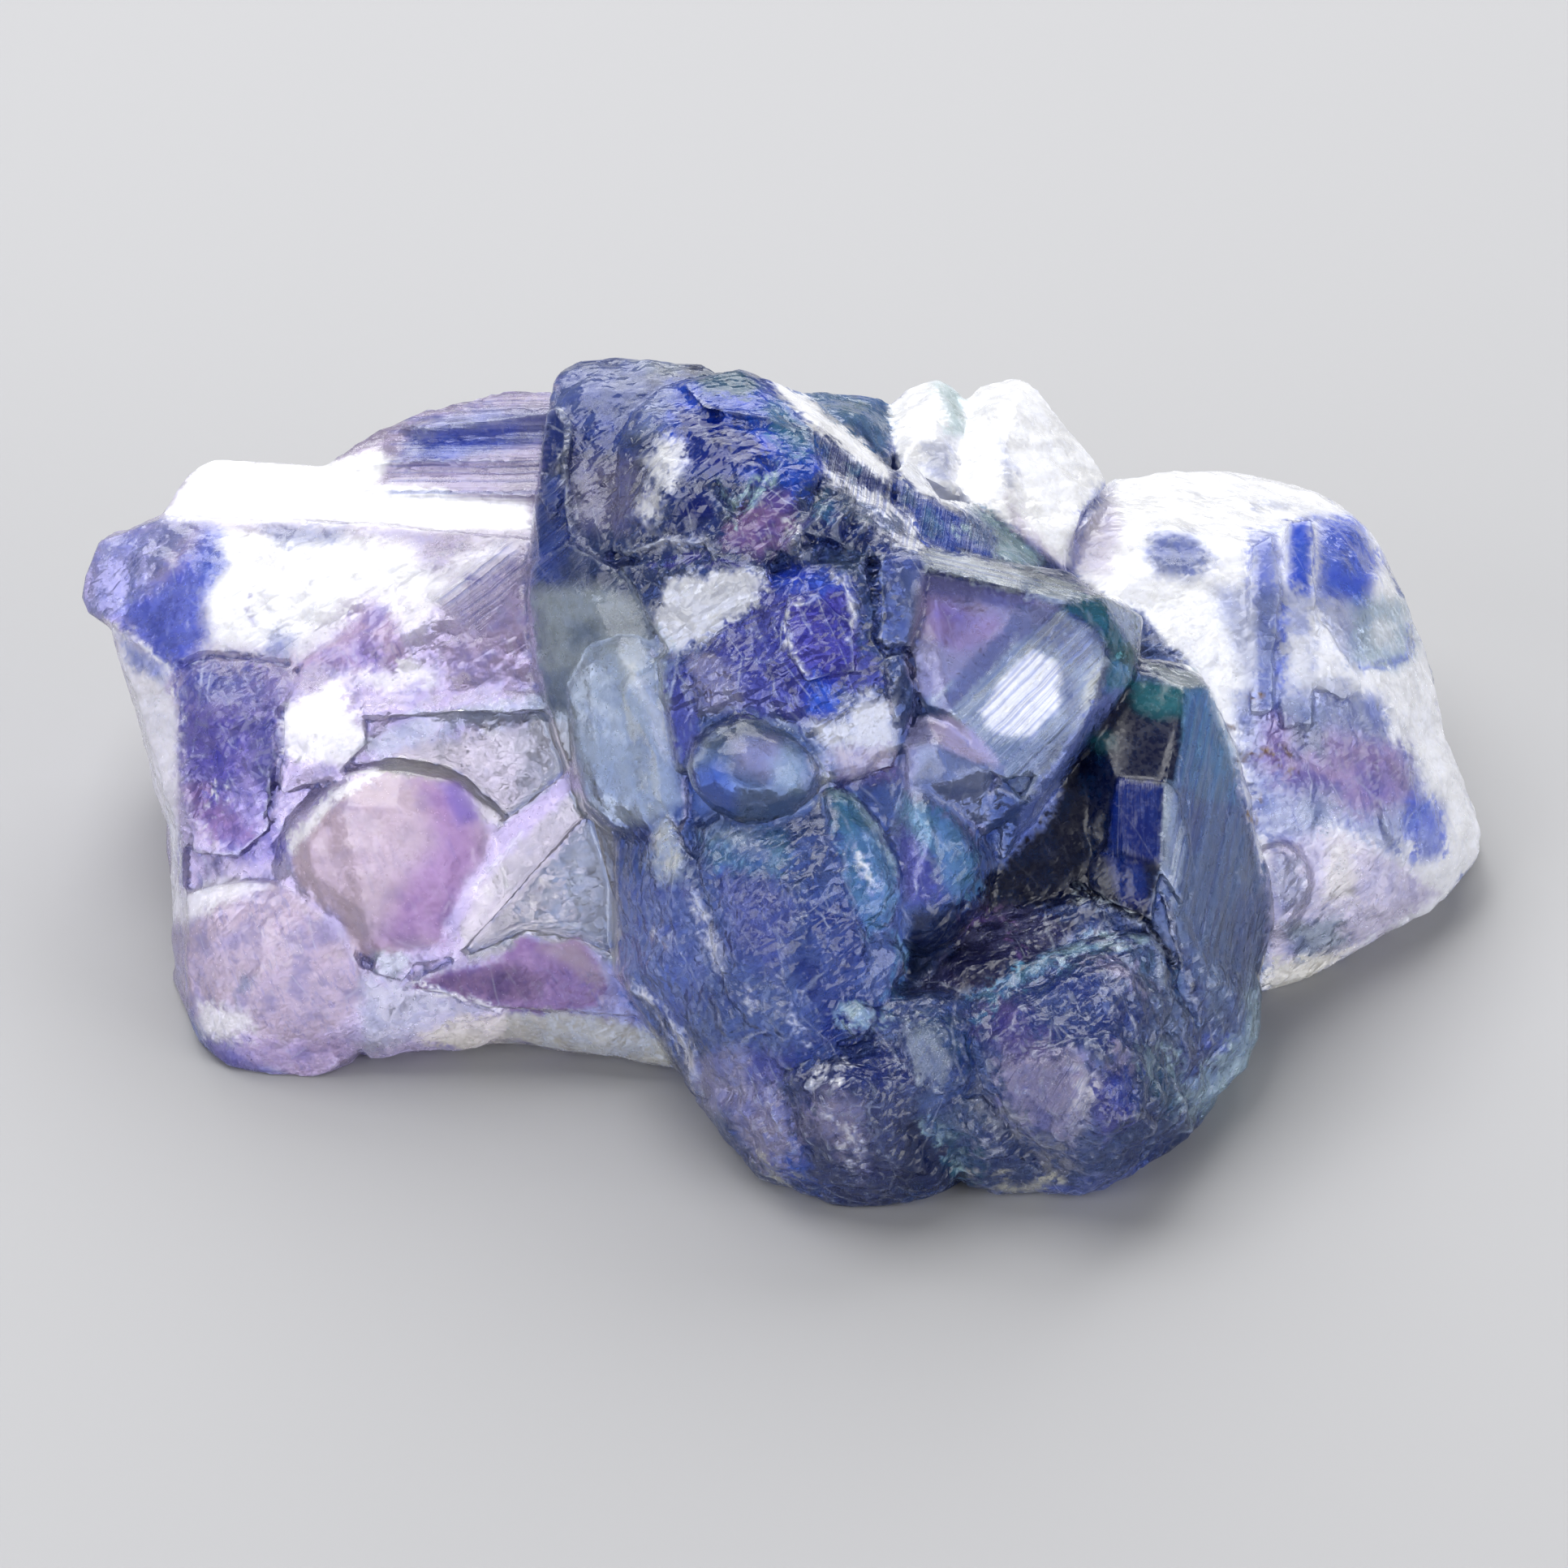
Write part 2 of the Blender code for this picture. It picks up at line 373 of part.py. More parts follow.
# The clear block on the right of the middle, with its striated face and bevelled edges.
CLEAR_BLOCK = {
    "body": grown([
        (6.1, 10.1, -2.2), (6.0, 9.2, 0.1), (11.9, 7.85, -0.2), (13.7, 8.05, -2.6), (12.2, 8.95, -4.8),
        (7.2, 3.1, 1.7), (5.9, 3.4, 1.0), (5.4, 6.0, 0.5), (13.8, 6.2, -0.9), (13.6, 4.7, -0.5),
        (12.4, 1.8, -0.1), (11.6, 0.5, 0.2), (9.3, 0.2, 1.4),
    ], 10, 0.9),
    "top_bar": grown([
        (6.05, 10.15, -2.4), (6.0, 9.25, 0.5), (10.1, 8.3, 0.3), (10.2, 8.85, -1.0), (12.2, 9.0, -4.6),
    ], 3, 0.98),
    "far_bevel": grown([
        (11.9, 7.85, -0.3), (13.7, 8.05, -2.4), (15.4, 7.15, -5.0), (15.25, 5.6, -3.2),
        (14.9, 4.3, -2.2), (13.8, 6.2, -0.8), (14.3, 8.0, -5.6),
    ], 6, 0.9),
    "near_bevel": grown([
        (14.9, 4.4, -2.2), (13.6, 2.4, -1.8), (12.2, 0.6, -1.4), (10.3, -1.8, -0.9), (9.3, -3.3, -0.9),
        (9.3, -1.9, -0.1), (10.3, -0.6, 0.7), (11.7, 0.7, 0.4), (13.0, 3.0, 0.0), (13.9, 5.4, -0.7),
    ], 4, 0.94),
    "foot_chips": grown([
        (9.4, 0.2, 1.0), (10.2, -0.7, 0.7), (9.4, -1.6, 0.2), (8.5, -2.2, 0.3), (8.6, -0.8, 0.9),
        (9.0, -0.2, 1.4),
    ], 3),
}

# The dark block at the right, with its glassy edge.
DARK_BLOCK = {
    "body": grown([
        (15.1, 5.3, -4.0), (16.2, 5.2, -5.6), (17.8, 4.9, -5.8), (18.1, 4.2, -4.3), (17.1, 4.15, -2.9),
        (15.1, 4.9, -3.2), (16.9, 0.1, -1.0), (14.2, 0.3, -0.9), (13.4, 2.3, -2.0), (12.2, 0.8, -2.8),
        (12.0, -5.0, -2.6), (15.0, -5.6, -1.2), (16.2, -5.0, -0.8), (19.4, 1.6, -5.4), (20.1, -2.5, -6.4),
    ], 10, 0.9),
    "dark_wall": grown([
        (12.6, 1.2, -2.4), (14.2, 0.1, -1.9), (14.2, -3.0, -2.0), (14.8, -5.6, -1.8), (11.6, -5.2, -2.5),
        (8.3, -5.0, -2.9), (9.2, -3.2, -2.0),
    ], 7),
    "front_prism": grown([
        (14.25, 0.25, -0.7), (16.25, 0.1, -0.5), (16.1, -3.6, 0.3), (15.7, -5.9, 0.3), (14.5, -5.4, 0.2),
        (13.8, -2.6, -0.6), (14.6, -2.8, 0.3),
    ], 5),
    "low_prism": grown([
        (13.8, -2.6, -0.6), (15.0, -3.4, 0.3), (15.4, -5.8, 0.5), (13.4, -5.2, -0.4), (13.0, -3.6, -0.8),
    ], 3),
    "sliver": grown([
        (16.25, 0.15, -0.2), (16.9, -0.3, -0.7), (17.4, -3.0, -0.9), (17.05, -5.2, -0.6),
        (16.1, -3.7, 0.5),
    ], 4),
    "glass_edge": grown([
        (16.3, 0.1, -0.6), (17.2, 4.1, -3.0), (18.1, 4.2, -4.2), (19.4, 1.6, -5.2), (20.1, -2.5, -6.2),
        (20.95, -5.0, -7.8), (21.0, -6.0, -8.2), (20.4, -8.2, -7.8), (17.2, -9.0, -1.4),
        (16.2, -4.8, -0.2),
    ], 8, 0.9),
    "glass_foot": grown([
        (16.6, -5.0, -0.6), (20.4, -8.0, -7.6), (20.5, -9.2, -7.6), (20.2, -11.0, -7.3),
        (19.8, -12.1, -6.9), (18.6, -13.2, -6.0), (17.4, -14.2, -4.6), (17.1, -10.2, -1.6), (18.6, -8.6, -2.6),
    ], 8, 0.9),
    "recess_floor": grown([
        (4.6, -8.9, -0.2), (6.2, -8.0, -0.9), (8.0, -6.0, -1.7), (11.5, -4.7, -2.2), (15.6, -5.9, -1.2),
        (12.8, -7.4, -0.2), (10.3, -8.6, 0.2), (8.0, -9.8, 0.8),
    ], 6),
    "recess_step": grown([
        (8.0, -6.1, -1.2), (10.6, -5.5, -1.3), (11.4, -6.3, -0.8), (9.4, -7.8, -0.2), (7.8, -6.9, -0.6),
    ], 3),
}

# The rounded crystals that the front of the stone stands on.
FRONT_FEET = {
    "big_toe": grown([
        (8.1, -9.2, 0.9), (10.3, -7.8, 0.6), (13.0, -6.6, 0.0), (15.6, -6.6, -0.5), (16.8, -8.8, -0.6),
        (17.35, -11.5, -1.8), (17.3, -14.4, -3.8), (16.4, -15.1, -3.6), (15.2, -16.3, -3.4),
        (12.6, -17.5, -2.5), (10.2, -15.4, 0.8), (9.0, -13.2, 1.8), (8.0, -11.0, 1.8),
        (12.8, -10.6, 3.3), (10.8, -11.4, 3.1), (14.8, -12.2, 2.2),
    ], 10, 0.9),
    "toe_cap": grown([
        (9.2, -12.6, 2.6), (11.0, -11.5, 3.6), (13.2, -11.1, 3.9), (15.0, -11.4, 3.0), (16.3, -12.6, 1.3),
        (16.2, -14.6, -0.4), (14.2, -16.2, 0.2), (12.2, -15.9, 1.2), (10.2, -14.6, 2.2),
    ], 5, 0.9),
    "toe_edge": grown([
        (15.0, -11.0, 2.2), (16.2, -11.6, 1.2), (17.2, -13.4, -1.0), (17.4, -14.8, -3.2),
        (16.4, -15.0, -1.6), (15.6, -12.6, 1.6),
    ], 4, 0.9),
    "middle_knot": grown([
        (4.0, -9.2, 1.8), (5.4, -8.95, 1.3), (8.0, -9.2, 0.8), (8.1, -11.4, 1.6), (7.2, -13.7, 1.8),
        (5.0, -13.0, 2.5), (4.0, -11.0, 2.5), (6.4, -9.8, 2.7), (7.1, -11.6, 2.9),
    ], 7, 0.9),
    "striated_tile": grown([
        (5.05, -10.9, 3.0), (6.1, -10.25, 3.0), (7.15, -11.7, 3.1), (6.9, -13.35, 2.8),
        (5.7, -12.8, 3.1),
    ], 2.5, 0.95),
    "round_toe": grown([
        (0.0, -12.5, 2.0), (2.6, -11.4, 2.2), (4.9, -11.0, 2.1), (6.3, -12.6, 2.2), (6.9, -13.7, 1.6),
        (7.2, -16.9, -0.9), (5.0, -17.85, -1.7), (4.0, -18.1, -1.95), (2.2, -18.05, -1.9), (1.4, -17.6, -1.8),
        (0.6, -15.0, 1.2), (2.2, -13.2, 3.7), (4.6, -13.0, 3.5), (3.6, -15.6, 2.8), (1.8, -15.6, 2.4),
        (5.6, -15.4, 1.8),
    ], 9, 0.9),
    "left_toe": grown([
        (-3.45, -13.7, -3.0), (-1.2, -12.7, 0.8), (0.2, -12.7, 1.6), (1.6, -16.8, 0.2), (1.5, -17.65, -1.6),
        (0.1, -17.15, -2.0), (-0.8, -16.7, -2.3), (-1.35, -16.1, -2.2), (-2.05, -14.4, -2.0),
        (-0.6, -14.4, 1.7),
    ], 7, 0.9),
    "green_toe": grown([
        (5.7, -14.2, 1.6), (7.2, -14.3, 1.7), (8.3, -13.4, 1.7), (10.0, -15.0, 1.0), (12.4, -17.45, -2.2),
        (9.6, -17.55, -2.3), (8.4, -17.2, -2.1), (7.3, -16.95, -1.6), (8.6, -15.4, 1.5),
        (10.4, -16.4, 0.2),
    ], 8, 0.9),
    "heel": grown([
        (17.1, -11.4, -2.8), (20.1, -11.2, -7.4), (19.4, -12.5, -7.2), (18.3, -13.6, -6.6),
        (17.35, -14.3, -5.2), (17.2, -13.4, -3.4),
    ], 5, 0.9),
    "drusy_grain": grown([
        (2.4, -9.7, 3.4), (3.0, -9.2, 3.6), (3.8, -9.5, 3.3), (3.9, -10.2, 3.2), (3.0, -10.7, 3.3),
        (2.5, -10.3, 3.4), (3.1, -9.9, 4.0),
    ], 2),
    "bright_grain": grown([
        (3.9, -9.8, 2.6), (5.0, -9.75, 2.3), (5.2, -10.3, 2.4), (4.1, -10.4, 2.8), (4.6, -9.9, 3.0),
    ], 2),
}

# The white spires behind the staircase and the pale dome at the far right.
FAR_SIDE = {
    "blue_shelf": grown([
        (0.0, 16.85, -13.5), (2.0, 16.75, -15), (4.2, 16.65, -16), (4.6, 16.3, -16), (4.6, 13.8, -11.6),
        (1.8, 15.2, -10), (3.2, 15.8, -12.4),
    ], 11, 0.92, DOWN),
    "low_spire": grown([
        (4.5, 16.35, -16.4), (5.4, 16.9, -17.2), (6.1, 17.35, -17.6), (6.7, 17.45, -17.8),
        (7.3, 17.1, -17.6), (7.85, 16.5, -17), (8.0, 13.6, -13.4), (7.2, 12.6, -11.2), (5.0, 13.7, -11.8),
        (6.4, 15.4, -13.4),
    ], 13, 0.92, DOWN),
    "high_spire": grown([
        (7.8, 16.5, -17.4), (8.6, 17.15, -18.2), (9.5, 17.45, -18.6), (10.3, 17.4, -18.6),
        (11.05, 16.8, -18.2), (11.6, 15.9, -17.6), (12.1, 15.3, -17.2), (12.9, 14.6, -17.2),
        (13.4, 13.6, -16.6), (13.8, 13.0, -16.4), (12.6, 9.8, -12.4), (11.0, 8.9, -9.6),
        (9.0, 10.8, -9.8), (7.6, 12.6, -11.2), (9.4, 14.6, -13.2), (10.6, 12.4, -12.0),
    ], 14, 0.92, DOWN),
    "dome": grown([
        (13.8, 13.0, -19), (16.0, 13.25, -20), (18.5, 13.5, -21), (21.0, 13.15, -21.6),
        (23.0, 12.5, -21.6), (24.5, 11.55, -21.2), (25.3, 10.6, -20.8), (26.2, 9.1, -20.6),
        (27.1, 7.2, -20.2), (27.6, 5.0, -19.8), (28.1, 3.0, -19.4), (28.5, 1.6, -19.2),
        (12.0, 10.8, -13.8), (12.0, 7.0, -10.4), (15.0, 0.0, -8.8), (17.4, 9.6, -12.6), (21.2, 10.2, -14.0),
        (24.2, 9.4, -15.4), (20.6, 4.6, -10.4), (25.0, 4.0, -13.4), (20.0, 0.0, -9.8), (25.6, 0.6, -13.6),
    ], 9, 0.86),
    "far_wing": grown([
        (28.4, 1.9, -19.0), (29.1, 0.3, -19.4), (29.8, -1.1, -19.8), (30.1, -2.2, -19.8),
        (29.9, -3.1, -19.4), (29.4, -3.6, -19.0), (28.5, -4.2, -18.2), (28.45, -4.9, -18.2),
        (26.0, -6.0, -17.2), (24.0, -7.3, -16.4), (22.2, -8.6, -15.8), (20.4, -9.2, -15.2),
        (16.0, -9.0, -13.4), (15.0, -3.0, -9.6), (19.8, -4.0, -10.6), (20.4, 1.0, -10.2),
        (25.4, 1.4, -13.4), (26.6, -2.2, -14.2),
        (23.4, -4.4, -12.4), (27.6, -1.0, -16.0),
    ], 8, 0.84),
    "band_near": grown([
        (20.1, 10.2, -13.0), (21.0, 10.7, -13.6), (21.3, 8.2, -12.0), (20.9, 3.2, -9.6),
        (20.2, 3.0, -9.5), (20.0, 8.0, -11.8),
    ], 5),
    "band_far": grown([
        (21.6, 11.2, -14.2), (22.7, 11.3, -14.6), (22.9, 8.0, -13.0), (22.6, 2.6, -10.6),
        (21.5, 2.4, -10.1), (21.4, 7.0, -11.8),
    ], 5),
    "wedge_face": grown([
        (22.8, 7.3, -12.8), (23.4, 6.6, -12.9), (24.8, 4.2, -12.6), (24.0, 3.6, -11.8),
        (22.9, 4.2, -11.4),
    ], 4),
    "rim": grown([
        (24.6, 8.6, -15.4), (25.4, 9.0, -17.0), (27.0, 6.4, -18.6), (27.1, 5.2, -18.2),
        (25.2, 4.9, -14.2), (24.6, 6.4, -14.0),
    ], 5),
    "low_knob": grown([
        (20.0, -3.4, -9.8), (21.2, -2.6, -10.2), (22.4, -3.4, -10.8), (22.2, -5.2, -11.4),
        (20.6, -6.6, -11.8), (20.0, -5.4, -10.8),
    ], 5),
    "wing_ridge": grown([
        (25.2, 2.8, -13.2), (26.2, 3.4, -14.4), (26.8, 1.0, -14.6), (27.4, -1.8, -15.4),
        (26.8, -3.6, -15.0), (25.8, -2.0, -13.2),
    ], 5),
}

# The back of the stone, which is as broken and stepped as the front. Corners are given as it stands.
BACK = {
    "left_slab": placed([
        (-26.2, 26, 1.5), (-27.0, 31, 3), (-24, 37.5, 1), (-14, 39.5, -1), (-13.5, 39, 9), (-23, 36.8, 9.5),
        (-26.8, 30, 9.5), (-25, 27, 11.5), (-14, 36, 13),
    ]),
    "left_top": placed([
        (-23, 29, 15.4), (-21.5, 34.5, 12.6), (-14.6, 37, 14), (-10, 36.6, 14.6), (-10, 30, 18.2),
        (-17, 29.5, 17),
    ]),
    "left_low": placed([
        (-26.0, 20, -1), (-26.2, 27, -1), (-22, 36, -1), (-23, 36, 4), (-27.0, 28, 5), (-26.1, 20, 6),
    ]),
    "middle_slab": placed([
        (-13, 37.4, -1), (-1, 40.6, -1), (6, 40, -1), (5, 39.4, 8), (-3, 39.6, 10), (-12, 37.6, 12.4),
        (-8, 35.6, 17), (2, 36, 15.4), (6, 37, 11),
    ]),
    "middle_crest": placed([
        (-9.6, 27, 22.6), (-5, 26.6, 24.6), (-1, 26, 24.2), (1, 30, 20.6), (-3, 34.6, 18.6),
        (-9.6, 33.6, 18.6), (-10, 28, 20),
    ]),
    "back_block": placed([
        (-6.6, 34, 14), (-1.6, 38.8, 12.4), (3.6, 36.6, 12.8), (2.6, 33, 17), (-2, 31.6, 19.6),
        (-6.6, 33, 18),
    ]),
    "back_step": placed([
        (4, 36, -1), (6, 40.2, -1), (14.5, 39.6, -1), (14, 38.6, 7), (6.4, 39, 8.6), (6, 36, 13),
        (13, 35.6, 12),
    ]),
    "spire_root": placed([
        (4.4, 31, 18), (7, 33.5, 17.6), (11, 33.4, 16.6), (13, 34, 13.2), (8, 37.6, 11.6), (4, 36.6, 12.6),
    ]),
    "right_slab": placed([
        (13.6, 38.8, -1), (21, 38, -1), (26, 34.6, -1), (25.4, 34, 7), (20.6, 37, 8.6), (14, 37.8, 9.4),
        (15, 35, 13), (20, 34, 12.6),
    ]),
    "right_low": placed([
        (26.4, 33.6, -1), (28.6, 29.6, 1.6), (28.5, 27, 3.4), (27.3, 30.6, 6.0), (26, 33, 7), (24, 27, -1),
    ]),
    "left_crystal": placed([
        (-19.4, 37.0, -1), (-16.4, 39.8, -1), (-13, 38.6, -1), (-14.0, 38.0, 7.0), (-16.6, 38.8, 6.4),
        (-19, 36.4, 7), (-16.6, 36.6, 10),
    ]),
    "right_crystal": placed([
        (7.4, 38.8, -1), (10.6, 41, -1), (13.6, 39.0, -1), (12.8, 38.4, 6.4), (10.6, 40.0, 5.2),
        (8.2, 38.4, 7.4), (10.4, 37.4, 9.6),
    ]),
}

# Rounded crystals: (right, up, near) of the middle, then the radii in the same order, and the lean in degrees.
ROUND_CRYSTALS = {
    "bead": ((-1.3, 0.6, 2.0), (3.0, 2.35, 2.6), -14),
}
BEAD_RINGS = 9
BEAD_SEGMENTS = 14

# The crystals whose growth has rounded them. The share is how far a new corner swells out between old ones.
ROUNDED = {
    "shoulder": 0.12, "swelling": 0.5, "foot": 0.3, "draped_body": 0.5, "teal_cap": 0.5, "side_crystal": 0.5,
    "apron": 0.15, "left_wall": 0.2, "pale_column": 0.3, "upright_slab": 0.15, "violet_body": 0.35,
    "big_toe": 0.45, "toe_cap": 0.6, "round_toe": 0.4, "left_toe": 0.3, "middle_knot": 0.5, "dome": 0.16,
    "far_wing": 0.14, "low_knob": 0.5, "low_spire": 0.25, "high_spire": 0.25, "recess_floor": 0.4,
}

# Cubes that show a corner at the back, as fluorite grows: middle, side, then turns about x, y and z in degrees.
BACK_CUBES = [
    ((-10.0, 34.2, 5.5), 10.0, (20, 12, 40)),
    ((-17.5, 33.0, 6.5), 8.0, (35, -10, 15)),
    ((17.5, 33.0, 4.5), 9.0, (15, 25, 35)),
    ((1.0, 35.0, 6.0), 9.5, (30, 10, 60)),
    ((8.5, 33.6, 8.0), 8.0, (25, -20, 45)),
    ((-3.5, 31.2, 13.2), 8.5, (12, 20, 25)),
]


def hull_object(name, points, collection):
    """A closed object: the convex hull of the points, which are in millimetres as the stone stands."""
    shape = bmesh.new()
    for point in points:
        shape.verts.new(point * MM)
    made = bmesh.ops.convex_hull(shape, input=shape.verts)
    inside = {item for item in made["geom_interior"] if isinstance(item, bmesh.types.BMVert)}
    bmesh.ops.delete(shape, geom=list(inside), context="VERTS")
    bmesh.ops.recalc_face_normals(shape, faces=shape.faces)
    if name in ROUNDED:
        swell(shape, ROUNDED[name])
    return object_from(name, shape, collection)


def swell(shape, share):
    """Rounds a hull: its faces are divided and the new corners pushed outwards."""
    bmesh.ops.subdivide_edges(shape, edges=shape.edges, cuts=1, smooth=share, use_grid_fill=True)
    bmesh.ops.triangulate(shape, faces=shape.faces)


def bead_object(name, middle, radii, turn, collection):
    """A rounded crystal: an ellipsoid of flat facets."""
    shape = bmesh.new()
    bmesh.ops.create_uvsphere(shape, u_segments=BEAD_SEGMENTS, v_segments=BEAD_RINGS, radius=1.0)
    size = Matrix.Diagonal((*(radius * MM for radius in radii), 1.0))
    bmesh.ops.transform(shape, matrix=Matrix.Translation(middle * MM) @ turn @ size, verts=shape.verts)
    return object_from(name, shape, collection)


def cube_object(name, middle, side, turns, collection):
    """A cube that stands askew."""
    shape = bmesh.new()
    turn = Euler([math.radians(angle) for angle in turns]).to_matrix().to_4x4()
    bmesh.ops.create_cube(shape, size=side * MM, matrix=Matrix.Translation(Vector(middle) * MM) @ turn)
    return object_from(name, shape, collection)


def object_from(name, shape, collection):
    """Turns a bmesh into an object in the collection."""
    mesh = bpy.data.meshes.new(name)
    shape.to_mesh(mesh)
    shape.free()
    made = bpy.data.objects.new(name, mesh)
    collection.objects.link(made)
    return made


def shard_points(right, up, width, height):
    """A small upright prism that leans with the staircase."""
    half = width / 2
    rise = height / 2
    return grown([
        (right - half + SHARD_LEAN, up + rise * 0.8, SHARD_NEAR - 0.4),
        (right + half * 0.6 + SHARD_LEAN, up + rise, SHARD_NEAR - 0.3),
        (right + half + SHARD_LEAN * 0.5, up + rise * 0.3, SHARD_NEAR),
        (right + half * 0.7 - SHARD_LEAN, up - rise, SHARD_NEAR + 0.7),
        (right - half - SHARD_LEAN, up - rise * 0.7, SHARD_NEAR + 0.5),
        (right - SHARD_LEAN * 0.4, up - rise * 0.1, SHARD_NEAR + 0.9),
    ], SHARD_DEPTH)


def view_turn():
    """The rotation that carries the view's axes, right, up and near, to the stone as it stands."""
    near = Vector((0.0, -math.cos(VIEW_ELEVATION), math.sin(VIEW_ELEVATION)))
    up = Vector((0.0, math.sin(VIEW_ELEVATION), math.cos(VIEW_ELEVATION)))
    return Matrix((Vector((1, 0, 0)), up, near)).transposed().to_4x4()


def crystals(collection):
    """Every crystal and block of the stone, as separate closed objects."""
    made = []
    front = (LEFT_LOBE, MIDDLE, STAIRCASE, CLEAR_BLOCK, DARK_BLOCK, FRONT_FEET)
    for group in (HEART, BED, *front, FAR_SIDE, BACK):
        for name, points in group.items():
            made.append(hull_object(name, points, collection))
    for number, shard in enumerate(SHARDS, 1):
        made.append(hull_object(f"shard_{number}", shard_points(*shard), collection))
    for name, (middle, radii, lean) in ROUND_CRYSTALS.items():
        turn = view_turn() @ Matrix.Rotation(math.radians(lean), 4, "Z")
        made.append(bead_object(name, standing(*middle), radii, turn, collection))
    for number, cube in enumerate(BACK_CUBES, 1):
        made.append(cube_object(f"back_cube_{number}", *cube, collection))
    return made


def boolean(target, operation, other):
    """Adds an exact Boolean to the target. Other is an object or a collection of closed objects."""
    modifier = target.modifiers.new(operation.lower(), "BOOLEAN")
    modifier.operation = operation
    modifier.solver = "EXACT"
    if isinstance(other, bpy.types.Collection):
        modifier.operand_type = "COLLECTION"
        modifier.collection = other
    else:
        modifier.object = other


def volume_of(faces):
    """Six times the volume that a set of triangles encloses, negative where they face inwards."""
    return sum(face.verts[0].co.dot(face.verts[1].co.cross(face.verts[2].co)) for face in faces)


def surfaces_of(shape):
    """The separate closed surfaces of a bmesh, each as a set of faces."""
    waiting = set(shape.faces)
    found = []
    while waiting:
        front = [waiting.pop()]
        surface = set(front)
        while front:
            face = front.pop()
            for edge in face.edges:
                for other in edge.link_faces:
                    if other in waiting:
                        waiting.remove(other)
                        surface.add(other)
                        front.append(other)
        found.append(surface)
    return found


def grow_together(target):
    """Joins the crystals for good and fills the pockets that they close in: only the outer surface stays."""
    shape = bmesh.new()
    shape.from_object(target, bpy.context.evaluated_depsgraph_get())
    bmesh.ops.triangulate(shape, faces=shape.faces)
    outer = max(surfaces_of(shape), key=volume_of)
    inner = [face for face in shape.faces if face not in outer]
    bmesh.ops.delete(shape, geom=inner, context="FACES")
    bmesh.ops.remove_doubles(shape, verts=shape.verts, dist=WELD * MM)
    bmesh.ops.dissolve_degenerate(shape, edges=shape.edges, dist=WELD * MM)
    target.modifiers.clear()
    shape.to_mesh(target.data)
    shape.free()


def ground(collection):
    """The block below the stone that cuts its base flat."""
    shape = bmesh.new()
    bmesh.ops.create_cube(shape, size=GROUND_BLOCK * MM)
    drop = Vector((MIDDLE_X, MIDDLE_Y, -GROUND_BLOCK / 2)) * MM
    bmesh.ops.translate(shape, vec=drop, verts=shape.verts)
    return object_from("ground", shape, collection)


def hide(collection):
    """Keeps cutters and building blocks out of the model."""
    for helper in collection.objects:
        helper.hide_render = True
        helper.display_type = "WIRE"


def fluorite():
    """The see-through mineral."""
    material = bpy.data.materials.new("fluorite")
    material.use_nodes = True
    shader = material.node_tree.nodes["Principled BSDF"]
    shader.inputs["Base Color"].default_value = FLUORITE_COLOUR
    shader.inputs["Roughness"].default_value = FLUORITE_ROUGHNESS
    shader.inputs["Metallic"].default_value = 0.0
    shader.inputs["IOR"].default_value = FLUORITE_IOR
    shader.inputs["Transmission Weight"].default_value = FLUORITE_TRANSMISSION
    return material


def clear_scene():
    """Removes what the scene starts with."""
    for old in list(bpy.data.objects):
        bpy.data.objects.remove(old, do_unlink=True)


def collection_named(name):
    """A new collection in the scene."""
    made = bpy.data.collections.new(name)
    bpy.context.scene.collection.children.link(made)
    return made


def main():
    """Builds the stone."""
    clear_scene()
    specimen = collection_named("fluorite_cluster")
    blocks = collection_named("crystals")
    cutters = collection_named("cutters")
    made = crystals(blocks)
    first = made[0]
    blocks.objects.unlink(first)
    specimen.objects.link(first)
    first.name = "fluorite_cluster"
    first.data.name = "fluorite_cluster"
    boolean(first, "UNION", blocks)
    grow_together(first)
    boolean(first, "DIFFERENCE", ground(cutters))
    hide(blocks)
    hide(cutters)
    first.data.materials.append(fluorite())
    first.location = Vector((-MIDDLE_X, -MIDDLE_Y, 0.0)) * MM


main()
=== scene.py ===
"""Dresses one hand specimen of intergrown fluorite.

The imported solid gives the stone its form. A fine skin is grown over it here, with broken facets, growth lines
and cracks, and the mineral's colour zones are laid on that skin, which the see-through finish then breaks up
into finer grain. Places are given the way the stone is looked at, from the front and a little above: right, up
and near, in millimetres. Meshes and the frame are in metres.
"""

import json
import logging
import math
import re
from dataclasses import dataclass, field
from enum import Enum

import bmesh
import bpy
import numpy as np
from mathutils import Euler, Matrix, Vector
from mathutils.bvhtree import BVHTree

